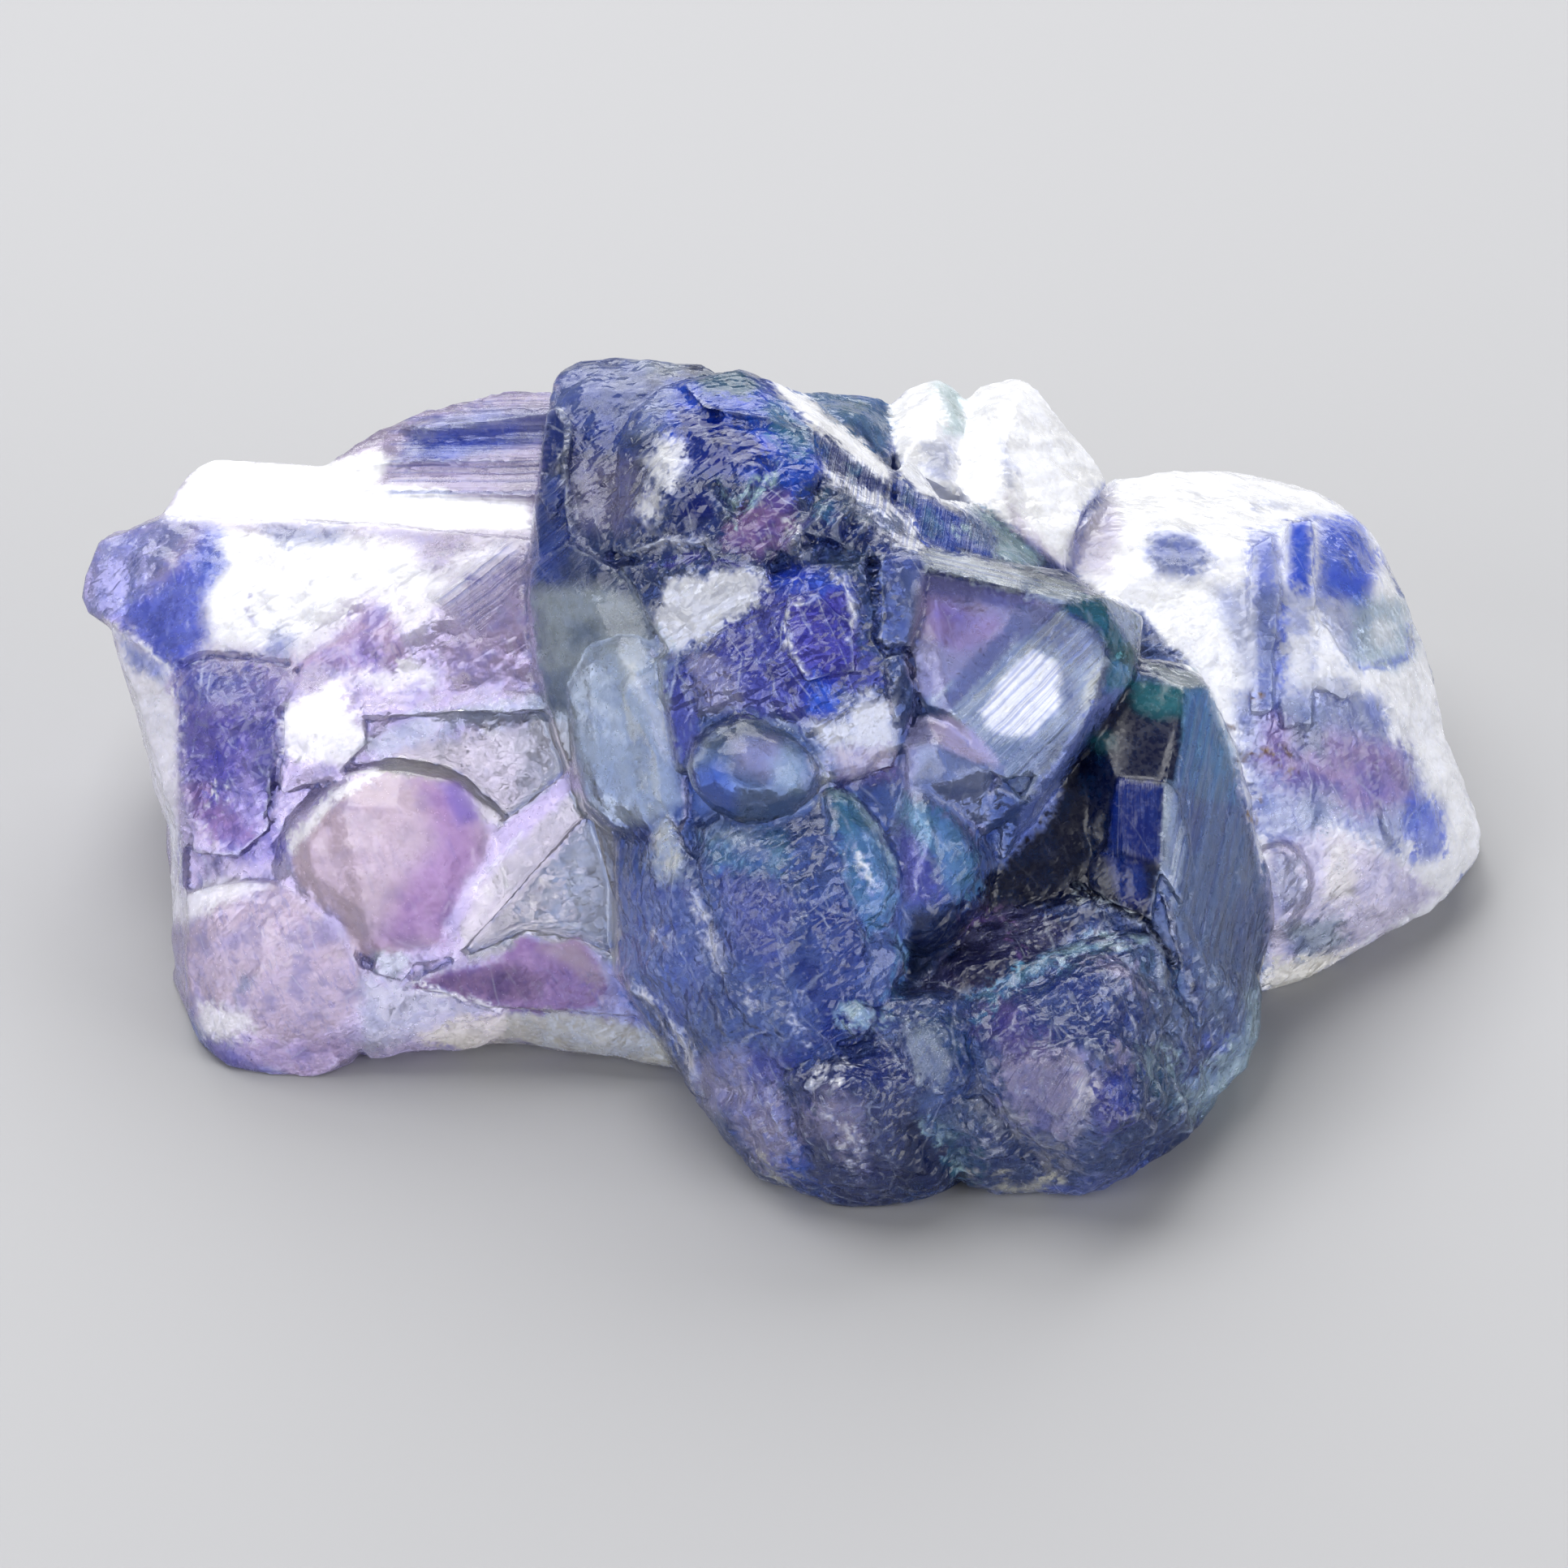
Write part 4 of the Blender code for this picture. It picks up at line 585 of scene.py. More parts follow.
# The lined cube, its cut corner and the crystals under it.
CUBE = drawn(
    """
LILAC 0.5 0.15: 59,91 102,81 118,76 98,59 70,30 58,39 52,50 56,75
INDIGO 0.7 0.12: 59,92 102,81 110,79 102,74 80,78 59,81
ORCHID 0.5 0.4: 60,80 92,73 94,62 74,56 58,64
VIOLET 0.35 0.3: 62,81 80,78 76,69 64,71
SLATE 0.62 0.12: 100,77 117,76 98,59 71,31 62,34 87,60
INDIGO 0.35 0.2: 70,74 84,72 80,66 69,57 66,64
MIST line 0.1 0.6: 63,35 72,43
LILAC line 0.08 0.6: 86,60 100,74
MIST 0.9 0.07: 60,101.5 100,92.5 137,82 135,79 120,77.5 102,81.5 59.5,92
MILK 0.35 0.1: 60,101.5 101,92.5 102,84 60,94
MIST 0.9 0.07: 136,81.5 154.5,71.5 153.5,62 151,56 142,70
MIST 0.7 0.06: 70,30 99,60 118,74 132,66 138,53 132,39 128,26 117,10 102,-8 92,8 82,22
INDIGO 0.6 0.15: 100,60 115,73 126,68 117,57 108,61
PERIWINKLE 0.45 0.2: 116,60 128,69 134,60 126,50 119,53
MILK 0.95 0.12: 84,30 92,44 106,58 118,52 118,33 104,19 89,22
STEEL 0.85 0.3: 87,18 104,19 125,24 116,10 102,-7 93,6
INDIGO 0.55 0.25: 118,50 125,46 127,30 121,28 118,40
CREAM 0.6 0.2: 129,44 136,54 134,39 127,31
PLUM 0.55 0.2: 104,-3 122,16 126,25 117,19 106,6
TEAL 0.92 0.12: 118,75 123,78.5 136,80 143,69 151,56 149,43 142,36 137,43 139,56 134,66 126,72
SKY 0.55 0.2: 140,53 150,52 149,43 142,36 137,42
PERIWINKLE 0.85 0.09: 148,41 135,30 127,19 120,6 116,-9 102,-30 94,-41 102,-10 114,4 122,19 130,33 140,41
LILAC 0.3 0.15: 54,28 72,29 80,23 94,7 90,-3 84,-22 65,-10 52,-5 50,10
STEEL 0.55 0.2: 58,18 82,10 92,6 85,-20 66,-10 54,-2
LILAC 0.9 0.09: 61,28.5 72,29.5 82,22 93.5,7.5 82,9 66,17
SKY 0.5 0.25: 52,-4 70,-13 83,-30 83,-48 74,-50 60,-28 50,-14
TEAL 0.45 0.3: 72,-30 82,-32 82,-46 76,-48
VIOLET 0.5 0.3: 49,-20 56,-22 68,-44 64,-52 52,-50 50,-36
NAVY 0.8 0.3: 56,-54 79,-52 80,-65 66,-78 52,-88 52,-70
MIST line 0.07 0.7: 60,-32 64,-36 65,-42
SKY line 0.14 0.6: 47,-64 52,-72 49,-86 42,-96
"""
)

# The dark block, its recess and the flank to its right.
DARK_BLOCK = drawn(
    """
NAVY 1 0.12 11: 128,18 139,30 148,45 172,42 171,20 167,0 162,-34 156,-58 130,-52 105,-54 83,-54 85,-40
  93,-34 112,-15 120,2
TEAL 0.72 0.35: 149,46 172,43 170,30 158,29 149,34
TEAL 0.35 0.2: 130,20 140,22 144,16 134,13
MIST 0.9 0.08: 151,53 160,51 176,50 180.5,42 170,41 162,45
SKY 0.45 0.15: 172,41 181,42 194,14 194,-10 177,-6 169,1 171,20
STEEL 0.5 0.35: 172,16 190,0 194,-12 178,-10 168,0
STEEL 0.7 0.12: 163,1 170,0 180,-9 198,-15 209,-50 204,-80 202,-100 193,-118 183,-100 173,-80 168,-60
  161,-40
SLATE 0.6 0.35: 194,-44 209,-48 206,-70 197,-80 192,-65
MIST 0.5 0.12: 163,-1 168,-4 171,-26 170,-44 162,-40
INDIGO 0.6 0.25: 173,-10 180,-10 178,-28 174,-30
INDIGO 0.62 0.1: 143,3 162,0 161,-34 148,-30 139,-28 140,-10
INDIGO 0.55 0.2: 137,-28 154,-33 156,-54 144,-52
PLUM 0.75 0.2: 82,-51 105,-53 126,-59 120,-67 100,-80 80,-90 54,-88 68,-75 78,-60
NAVY 0.55 0.35: 78,-68 106,-76 100,-81 80,-88 70,-78
NAVY 0.6 0.25: 110,-56 130,-54 146,-62 126,-64
MIST line 0.09 0.65: 124,-44 129,-49 143,-54
NAVY line 0.14 0.85: 143,-52 157,-60 169,-80 177,-102
MIST line 0.09 0.7: 146,-56 156,-62 166,-78 173,-98
PLUM line 0.08 0.7: 80,-89 74,-84 70,-79
ORCHID line 0.1 0.45: 78,-60 94,-57 103,-74
"""
)

# The lumps at the foot.
# The milk arc from 11,-129 to 29,-122 and the two mint lines on the teal crystal near 160,-120 are painted
# highlights.
LUMPS = drawn(
    """
INDIGO 0.45 0.6: 84,-96 112,-80 138,-80 154,-96 144,-110 104,-114
ORCHID 0.3 0.5: 84,-100 96,-90 106,-106 120,-116 94,-120
LILAC 0.55 0.2: 128,-73 144,-76 158,-90 142,-82
SKY line 0.3 0.6: 82,-94 95,-86 115,-74 130,-69
MINT line 0.18 0.65: 116,-72 130,-68 142,-69 154,-66
TEAL 0.35 0.35: 156,-68 168,-88 162,-94 150,-80
STEEL 0.5 0.3: 166,-80 176,-102 172,-114 156,-110 160,-96
PLUM 0.5 0.25: 2,-126 20,-116 46,-110 56,-130 52,-176 40,-186 16,-180 6,-155
INDIGO 0.6 0.25: 10,-124 30,-114 48,-111 53,-128 30,-129
LILAC 0.4 0.4: 14,-132 30,-134 34,-150 34,-166 24,-156 10,-146
NAVY 0.72 0.35: 49,-140 58,-140 66,-156 84,-174 50,-176
MILK line 0.1 0.95: 11,-129 17,-124 29,-122
MILK line 0.16 0.65: 23,-142 29,-151 31,-164
LILAC 0.65 0.25: -23,-143 -13,-131 -3,-129 6,-146 6,-156 -2,-168 -14,-160
BLUE 0.5 0.3: 1,-155 9,-158 15,-175 -4,-168
CREAM line 0.2 0.7: -13,-158 -8,-166 3,-172
MIST 0.75 0.1: 51,-109 58,-102.5 68,-109 72,-123 63,-133 57,-123
TEAL 0.3 0.3: 48,-108 60,-100 78,-100 80,-116 74,-124 69,-109
STEEL 0.5 0.25: 58,-132 80,-132 88,-140 80,-148 60,-142
TEAL 0.5 0.2: 59,-143 73,-146 86,-162 86,-172 72,-166
MINT line 0.14 0.6: 59,-144 68,-150 74,-160 84,-168
LILAC 0.75 0.25: 94,-130 94,-120 110,-118 128,-116 133,-126 130,-140 124,-153 110,-147 100,-140
MILK 0.6 0.25: 126,-122 132,-118 131,-134 125,-150 121,-146
VIOLET 0.55 0.3: 133,-124 146,-121 150,-140 138,-153 132,-143
BLUE 0.4 0.3: 140,-122 150,-126 152,-138 142,-138
LILAC 0.7 0.15: 139,-113 148,-114 147,-122 139,-120
NAVY 0.5 0.35: 145,-140 157,-140 156,-159 144,-158
TEAL 0.45 0.3: 153,-114 168,-115 174,-136 169,-150 160,-138 154,-130
MINT line 0.2 0.75: 163,-114 167,-124 171,-134
MINT line 0.16 0.55: 152,-116 158,-126
SMOKE 0.6 0.15: 81,-136 92,-135 103,-147 118,-156 126,-169 114,-161 98,-149 87,-148
CREAM line 0.28 0.7: 86,-170 98,-174 116,-171
MILK line 0.18 0.6: 89,-154 84,-160
MINT 0.7 0.3: 172,-130 183,-120 195,-110 199,-93 203,-82 208,-100 203,-120 189,-138 174,-144
BLUE 0.45 0.2: 184,-108 193,-108 191,-116 183,-115
"""
)

# The spires and the right lobe, with its brassy grains.
RIGHT_LOBE = drawn(
    """
MILK 1 0.15 60: 44,164 65,180 80,170 100,180 126,158 140,134 180,140 220,134 254,114 280,50 290,10 306,-25
  280,-56 206,-96 203,-80 209,-50 195,0 180,42 154,60 155,71 136,81 90,116 48,140
MINT 0.6 0.4: 62,176 77,170 78,150 71,152 69,164
PERIWINKLE 0.4 0.4: 60,146 73,149 71,129 61,133
LILAC 0.7 0.35: 98,124 104,110 122,92 110,96 99,104
PERIWINKLE line 0.25 0.3: 94,146 97,128
BLUE line 0.25 0.5: 140,129 129,115 123,92
LILAC 0.6 0.5: 124,106 140,126 146,110 140,90 124,90
PERIWINKLE 0.85 0.5: 159,108 175,107 185,96 175,88 161,91 155,100
PERIWINKLE 0.5 0.6: 184,84 200,86 252,86 248,60 244,40 220,46 200,38 192,60
BLUE 0.7 0.5: 200,108 212,109 213,80 202,80
BLUE 0.95 0.3: 217,113 227,115 227,82 218,84
BLUE 0.9 0.45: 230,115 248,114 256,96 250,78 230,82
INDIGO 0.5 0.2: 241,107 247,107 247,94 241,94
MILK line 0.12 0.7: 228.5,112 227.5,80
PERIWINKLE line 0.45 0.85: 207,80 208,20 207,-10
BLUE line 0.14 0.7: 213.5,78 213,40 212,0
PERIWINKLE line 0.3 0.35: 204,120 228,122 252,114 266,86
MILK 0.85 0.15: 228,76 228,46 245,46 236,62
MILK 0.6 0.15: 217.5,64 226,64 226,47 217.5,47
SKY 0.45 0.5: 246,80 268,80 272,56 262,49 244,53
MILK 0.6 0.35: 253,70 263,70 262,60 253,60
BLUE line 0.14 0.5: 248,51 260,51 269,55 270,68
PERIWINKLE 0.75 0.5: 193,38 220,42 256,38 268,20 278,-10 264,-32 236,-16 215,-30 202,-20
ORCHID 0.7 0.7: 206,30 234,24 266,16 272,-6 250,-14 220,-4 202,8
STEEL 0.6 0.4: 216,34 232,32 232,12 218,14
STEEL 0.5 0.4: 222,0 240,-2 236,-20 222,-18
VIOLET 0.35 0.4: 246,12 260,8 264,-8 250,-8
BLUE 0.75 0.4: 270,-5 284,-8 284,-31 272,-34 266,-20
BRASS line 0.13 1: 200,38.5 206,37.5
BRASS line 0.13 0.95: 201,11.5 208,14 214,11 221,7
BRASS line 0.12 0.95: 191,25 192,24.5
BRASS line 0.12 0.95: 194,12.5 196,12
BRASS line 0.11 0.95: 201.5,-8 202.5,-9
BRASS line 0.11 0.95: 200,-12.5 202.5,-17.5
MILK 1 0.3: 284,2 298,-6 306,-24 284,-36 287,-16
MILK 0.9 0.3: 262,42 278,50 290,10 294,-2 283,-2 270,17 259,17
MILK 0.6 0.2: 264,-24 270,-22 271,-34 265,-33
LILAC 0.75 0.3: 206,-26 236,-20 264,-34 282,-48 240,-76 212,-88 206,-70
STEEL 0.5 0.3: 210,-28 222,-32 226,-50 214,-56 206,-40
TEAL 0.7 0.35: 214,-60 238,-56 244,-69 220,-78
CREAM 0.45 0.35: 234,-22 244,-26 246,-50 232,-52
CREAM 0.7 0.2: 203,-77 220,-76 248,-70 210,-96
"""
)

PAINTING = LEFT_LOBE + RIGHT_LOBE + CENTRE + STAIRS + CUBE + DARK_BLOCK + LUMPS


@dataclass(frozen=True)
class Ground:
    """How the surface is broken inside an outline.

    Attributes:
        outline: Its corners, right and up in millimetres.
        facets: How strongly it is broken into facets, from 0 to 1.
        soft: How wide its edge is, in millimetres.
    """

    outline: Outline
    facets: float
    soft: float = 0.8

    def cover(self, seen: np.ndarray, surface: "Surface") -> np.ndarray:
        """How much of each place lies in it."""
        return Patch(Tone.MILK, self.outline, 1.0, self.soft, 8.0).cover(seen, surface)


GROUNDS: tuple[Ground, ...] = (
    Ground(corners("-270,110 -250,140 -170,160 -100,170 -105,105 -190,110"), 0.15),
    Ground(corners("-260,50 -220,50 -215,-30 -255,-30"), 1),
    Ground(corners("-176,10 -91,27 -73,-20 -72,-80 -140,-76 -140,-20"), 0, 0.3),
    Ground(corners("-210,-26 -176,5 -140,0 -145,-70 -184,-74"), 0.1),
    Ground(corners("-108,80 -64,80 -45,-10 -70,-18 -100,34"), 0.15),
    Ground(corners("-90,150 -65,165 10,155 50,105 60,98 44,40 18,24 -40,30 -68,90"), 0.75),
    Ground(corners("-43,6 -13,28 18,2 4,-19 -30,-18"), 0, 0.3),
    Ground(corners("-70,-20 15,-20 48,-40 35,-90 0,-125 -50,-120"), 0.8),
    Ground(corners("52,92 118,76 138,53 102,-8 50,0 52,50"), 0.05, 0.4),
    Ground(corners("128,18 148,45 180,42 195,0 206,-50 163,-50 120,0"), 0.1),
    Ground(corners("84,-20 94,-40 150,-54 130,-70 80,-90 50,-88"), 0.9),
    Ground(corners("-20,-125 40,-96 90,-86 140,-64 180,-80 206,-90 180,-180 -26,-180"), 1.5),
    Ground(corners("196,35 270,30 290,-30 210,-90 198,-20"), 0.6),
)


@dataclass(frozen=True)
class Crack:
    """A line along which the surface has parted.

    Attributes:
        route: Its corners, right and up in millimetres.
        wide: Half its width.
        depth: How deep it is. A negative depth is a raised seam.
    """

    route: Outline
    wide: float = 0.22
    depth: float = 0.16

    def at(self, seen: np.ndarray) -> np.ndarray:
        """How far the crack sinks each place, in millimetres.

        Args:
            seen: Rows of right, up, near.

        Returns:
            A depth for each row.
        """
        away = from_route(seen[:, :2], np.array(self.route))
        return self.depth * (1 - eased(away, 0.1 * self.wide, 0.8 * self.wide))


CRACKS: tuple[Crack, ...] = (
    Crack(corners("-217,32 -216,10 -221,-15"), 0.3, 0.3),
    Crack(corners("-260,52 -235,56 -213,51"), 0.25, 0.22),
    Crack(corners("38,95 38.5,80 40.5,67 39.5,60 44,55 51,57"), 0.3, 0.35),
    Crack(corners("9,79 2,77 0.5,65 3,58 8,50"), 0.25, -0.06),
    Crack(corners("22,91 26,86 30,76 31,62"), 0.25, -0.06),
    Crack(corners("-28,128 -25,122 -20.5,117 -12,126 -3,138"), 0.35, 0.3),
    Crack(corners("-67,100 -50,103 -34,104 -28,96"), 0.3, -0.2),
    Crack(corners("-97,160 -92,153 -95,140 -93,120 -89,104"), 0.25, -0.15),
    Crack(corners("-39,-46 -33,-60 -27,-79"), 0.3, -0.14),
    Crack(corners("-64,-86 -50,-100 -41,-114 -37,-132"), 0.3, -0.16),
    Crack(corners("124,-44 143,-53 157,-60 169,-80 177,-102"), 0.25, 0.28),
    Crack(corners("-162,-86 -140,-91 -122,-97"), 0.2, -0.15),
    Crack(corners("140,129 129,115 123,92"), 0.35, 0.3),
)


@dataclass(frozen=True)
class Striae:
    """A patch of parallel growth lines.

    Attributes:
        outline: Its corners, right and up in millimetres.
        lean: The turn of the lines in the view, in degrees.
        pitch: The distance between lines.
        depth: How deep the lines are cut.
    """

    outline: Outline
    lean: float
    pitch: float
    depth: float

    def at(self, seen: np.ndarray, waver: np.ndarray, surface: "Surface") -> np.ndarray:
        """How far the lines move each place, in millimetres.

        Args:
            seen: Rows of right, up, near.
            waver: Noise that bends the lines a little.
            surface: The stone's surface.

        Returns:
            A height for each row.
        """
        phase = self.phase(seen, waver)
        return self.inside(seen, surface) * self.depth * (phase - np.floor(phase) - 0.5)

    def phase(self, seen: np.ndarray, waver: np.ndarray) -> np.ndarray:
        """Counts the lines up to each place."""
        angle = math.radians(self.lean)
        across = seen[:, 1] * math.cos(angle) - seen[:, 0] * math.sin(angle)
        return (across + 0.12 * waver) / self.pitch

    def inside(self, seen: np.ndarray, surface: "Surface") -> np.ndarray:
        """How much of each place lies in the patch."""
        return Patch(Tone.MILK, self.outline, 1.0, 0.3, 6.0).cover(seen, surface)


STRIAE: tuple[Striae, ...] = (
    Striae(corners("70,30 99,60 118,74 132,66 138,53 128,26 102,-8 82,22"), 45, 0.5, 0.07),
    Striae(corners("60,101 136,82 135,79 59.5,92"), -13, 0.28, 0.04),
    Striae(corners("-109,82 -104,130 -94,130 -86,100 -86,84"), 42, 0.4, 0.06),
    Striae(corners("-150,80 -120,106 -109,95 -130,66"), 38, 0.5, 0.05),
    Striae(corners("-170,122 -170,164 -100,170 -102,122"), 0, 0.7, 0.08),
    Striae(corners("13,150 46,130 90,110 90,98 46,102 17,134"), 80, 0.45, 0.07),
    Striae(corners("143,2 162,0 161,-33 140,-30"), 88, 0.35, 0.05),
    Striae(corners("51,-109 58,-103 72,-122 62,-132"), 60, 0.3, 0.05),
    Striae(corners("172,40 181,41 206,-50 200,-110 164,-40"), 78, 0.9, 0.07),
    Striae(corners("94,-120 130,-118 126,-152 100,-140"), 60, 0.35, 0.06),
)


class Surface:
    """The stone's surface as the viewer meets it."""

    def __init__(self, made: bpy.types.Object, view: View) -> None:
        """Prepares the search on the stone, as it is looked at."""
        self.view = view
        self.tree = BVHTree.FromObject(made, bpy.context.evaluated_depsgraph_get())

    def near(self, right: float, up: float) -> float:
        """How near the surface is at a place in the view, in millimetres.

        Args:
            right: Millimetres to the right of the middle of the view.
            up: Millimetres above it.

        Returns:
            The near value that the viewer meets. Past the stone's edge it is that of the middle of its depth.
        """
        place, _, _, _ = self.tree.ray_cast(self.view.standing(right, up, FAR), Vector(-self.view.axes()[2]))
        return MID_DEPTH if place is None else float(self.view.seen(np.array([place]))[0, 2])


class Wiring:
    """Short ways to add shader nodes."""

    def __init__(self, tree: bpy.types.NodeTree) -> None:
        """Keeps the tree to add to."""
        self.tree = tree

    def add(self, kind: str, feeds: dict[str | int, Value] | None = None, **settings: str) -> bpy.types.Node:
        """Adds a node.

        Args:
            kind: The node's kind.
            feeds: What its inputs get: another node's output, a number or a colour.
            settings: Its own settings.

        Returns:
            The node.
        """
        made = self.tree.nodes.new("ShaderNode" + kind)
        for name, value in settings.items():
            setattr(made, name, value)
        for name, value in (feeds or {}).items():
            if isinstance(value, Socket):
                self.tree.links.new(value, made.inputs[name])
            else:
                made.inputs[name].default_value = value
        return made

    def noise(self, place: Socket, scale: float, detail: float, rough: float) -> Socket:
        """Noise from 0 to 1, by its lumps per metre, its layers and how strong the finer ones are."""
        feeds = {"Vector": place, "Scale": scale, "Detail": detail, "Roughness": rough}
        return self.add("TexNoise", feeds).outputs["Fac"]

    def drawn_out(self, place: Socket, course: Course, share: float) -> Socket:
        """Stretches space, so that a pattern read there runs in one direction.

        Args:
            place: The place.
            course: That direction.
            share: How space is scaled along it. Less than 1 draws the pattern out.

        Returns:
            The changed place.
        """
        turn = Vector(course).rotation_difference(Vector((0, 1, 0))).to_euler()
        turned = self.add("Mapping", {"Vector": place, "Rotation": turn})
        scaled = self.add("Mapping", {"Vector": turned.outputs["Vector"], "Scale": (1.0, share, 1.0)})
        return scaled.outputs["Vector"]

    def cubes(self, place: Socket, scale: float) -> Socket:
        """How far a place is from the middle of its small cube, in cubes."""
        feeds = {"Vector": place, "Scale": scale}
        return self.add("TexVoronoi", feeds, feature="F1", distance="CHEBYCHEV").outputs["Distance"]

    def borders(self, place: Socket, scale: float) -> Socket:
        """How far a place is from the border of its cell, in cells."""
        feeds = {"Vector": place, "Scale": scale}
        return self.add("TexVoronoi", feeds, feature="DISTANCE_TO_EDGE").outputs["Distance"]

    def brightness(self, colour: Socket) -> Socket:
        """How bright a colour is."""
        return self.add("RGBToBW", {0: colour}).outputs[0]

    def along(self, value: Socket) -> Socket:
        """Turns a value into a place on a line."""
        return self.add("CombineXYZ", {0: value}).outputs[0]

    def stored(self, name: str) -> list[Socket]:
        """The colour kept on the mesh under the name, and its three channels."""
        whole = self.add("Attribute", attribute_name=name).outputs["Color"]
        return [whole, *self.add("SeparateColor", {"Color": whole}).outputs]

    def math(self, operation: str, *values: Value) -> Socket:
        """Takes each value into the one before it."""
        total = values[0]
        for value in values[1:]:
            total = self.add("Math", {0: total, 1: value}, operation=operation).outputs[0]
        return total

    def ramp(self, value: Value, low: float, high: float, bottom: float = 0.0, top: float = 1.0) -> Socket:
        """Rises smoothly from bottom, where the value is low, to top, where it is high."""
        feeds = {"Value": value, "From Min": low, "From Max": high, "To Min": bottom, "To Max": top}
        return self.add("MapRange", feeds, interpolation_type="SMOOTHSTEP").outputs["Result"]

    def mix(self, share: Value, first: Value, second: Value, way: str = "MIX") -> Socket:
        """Mixes two colours, with a share of the second."""
        return self.add("Mix", {0: share, 6: first, 7: second}, data_type="RGBA", blend_type=way).outputs[2]


@dataclass(frozen=True)
class FluoriteFinish:
    """The see-through mineral: zoned colour, glassy and frosted faces, fine growth relief, painted edge
    highlights and groove shade.

    Attributes:
        ior: Fluorite's refractive index.
        absorbed: The colour that is left after light has gone far through the stone.
        density: How fast it is absorbed, per metre.
        smooth: The roughness of a glassy face.
        frosted: The roughness of a frosted one.
        shade: What a colour is multiplied by in a dark streak, cloud or chip, and in the painted shade of a
            groove.
        edge_highlight_and_pale_streak: The colour of the painted highlight on an edge, and of a real pale
            streak.
        growth: The direction that streaks and flaws run in.
        chipped: The direction that small chips are drawn out in.
        relief: How high the finest relief stands, in metres.
    """

    ior: float = 1.434
    absorbed: tuple[float, float, float, float] = (0.68, 0.70, 0.86, 1.0)
    density: float = 26.0
    smooth: float = 0.05
    frosted: float = 0.40
    shade: tuple[float, float, float, float] = (0.36, 0.42, 0.74, 1.0)
    edge_highlight_and_pale_streak: tuple[float, float, float, float] = (0.80, 0.88, 1.0, 1.0)
    growth: Course = (0.40, -0.52, -0.75)
    chipped: Course = (0.85, 0.35, 0.4)
    relief: float = 0.0003

    def material(self) -> bpy.types.Material:
        """Builds the mineral's material.

        Returns:
            The material.
        """
        made = bpy.data.materials.new("fluorite")
        made.use_nodes = True
        made.node_tree.nodes.clear()
        wiring = Wiring(made.node_tree)
        math, ramp = wiring.math, wiring.ramp
        place = wiring.add("TexCoord").outputs["Object"]
        cloud = wiring.noise(place, 600.0, 3.0, 0.7)
        dust = wiring.noise(place, 4200.0, 1.0, 0.6)
        fray = wiring.noise(place, 1900.0, 2.0, 0.7)
        streaks = wiring.noise(wiring.drawn_out(place, self.growth, 0.14), 2400.0, 3.0, 0.75)
        chip = wiring.cubes(wiring.drawn_out(place, self.chipped, 0.45), 1900.0)
        flaw = wiring.borders(wiring.drawn_out(place, self.growth, 0.3), 300.0)
        _, clear, frost, broken = wiring.stored("nature")
        _, phase, lined, fold = wiring.stored("growth")
        lines = wiring.noise(wiring.along(phase), 2.6, 3.0, 0.6)
        colour = wiring.mix(ramp(fray, 0.42, 0.58), wiring.stored("tint")[0], wiring.stored("tint_beside")[0])
        # Darker places: real clouds, chips and dark streaks, and painted shade in the mesh's grooves, where
        # fold is below 0.
        dark = math(
            "MAXIMUM",
            math("MULTIPLY", ramp(cloud, 0.42, 0.66), ramp(broken, 0.0, 0.8, 0.35, 1.0)),
            math("MULTIPLY", ramp(chip, 0.35, 0.62), ramp(broken, 0.1, 0.9, 0.0, 0.5)),
            math("MULTIPLY", ramp(streaks, 0.34, 0.50, 0.8, 0.0), ramp(broken, 0.0, 0.7, 0.2, 1.0)),
            ramp(fold, -0.30, -0.10, 0.9, 0.0),
        )
        dark = math("MULTIPLY", dark, ramp(wiring.brightness(colour), 0.45, 0.9, 1.0, 0.25))
        dark = math("MAXIMUM", dark, math("MULTIPLY", ramp(lines, 0.42, 0.54, 0.75, 0.0), lined))
        colour = wiring.mix(dark, colour, wiring.mix(1.0, colour, self.shade, "MULTIPLY"))
        # Paler places: real pale streaks, flaws and growth lines, and a painted highlight on the mesh's edges,
        # where fold is above 0.
        bright = math(
            "MAXIMUM",
            math("MULTIPLY", ramp(streaks, 0.55, 0.72), ramp(broken, 0.0, 0.7, 0.12, 0.4)),
            ramp(fold, 0.10, 0.30, 0.0, 0.5),
            math("MULTIPLY", ramp(flaw, 0.0, 0.016, 0.6, 0.0), dark),
            math("MULTIPLY", ramp(lines, 0.60, 0.66, 0.0, 0.7), lined),
        )
        # paler is the colour that the painted edge highlight and the pale streaks go towards.
        paler = wiring.mix(ramp(clear, 0.08, 0.36, 0.05, 0.5), colour, self.edge_highlight_and_pale_streak)
        rough = math("ADD", frost, ramp(dust, 0.3, 0.7, -0.2, 0.25))
        height = math(
            "ADD",
            math("MULTIPLY", cloud, 0.6),
            math("MULTIPLY", chip, -0.7, ramp(broken, 0.05, 0.9)),
            math("MULTIPLY", lines, lined, 1.6),
        )
        strength = ramp(broken, 0.0, 0.8, 0.22, 0.85)
        bump = wiring.add("Bump", {"Distance": self.relief, "Strength": strength, "Height": height})
        passes = math("SUBTRACT", ramp(clear, 0.06, 0.50, 0.06, 0.82), ramp(cloud, 0.35, 0.7, -0.10, 0.14))
        shader = wiring.add(
            "BsdfPrincipled",
            {
                "Base Color": wiring.mix(bright, colour, paler),
                "IOR": self.ior,
                "Transmission Weight": passes,
                "Roughness": ramp(rough, 0.0, 1.0, self.smooth, self.frosted),
                "Normal": bump.outputs["Normal"],
            },
        )
        inside = wiring.add("VolumeAbsorption", {"Color": self.absorbed, "Density": self.density})
        wiring.add("OutputMaterial", {"Surface": shader.outputs["BSDF"], "Volume": inside.outputs["Volume"]})
        return made


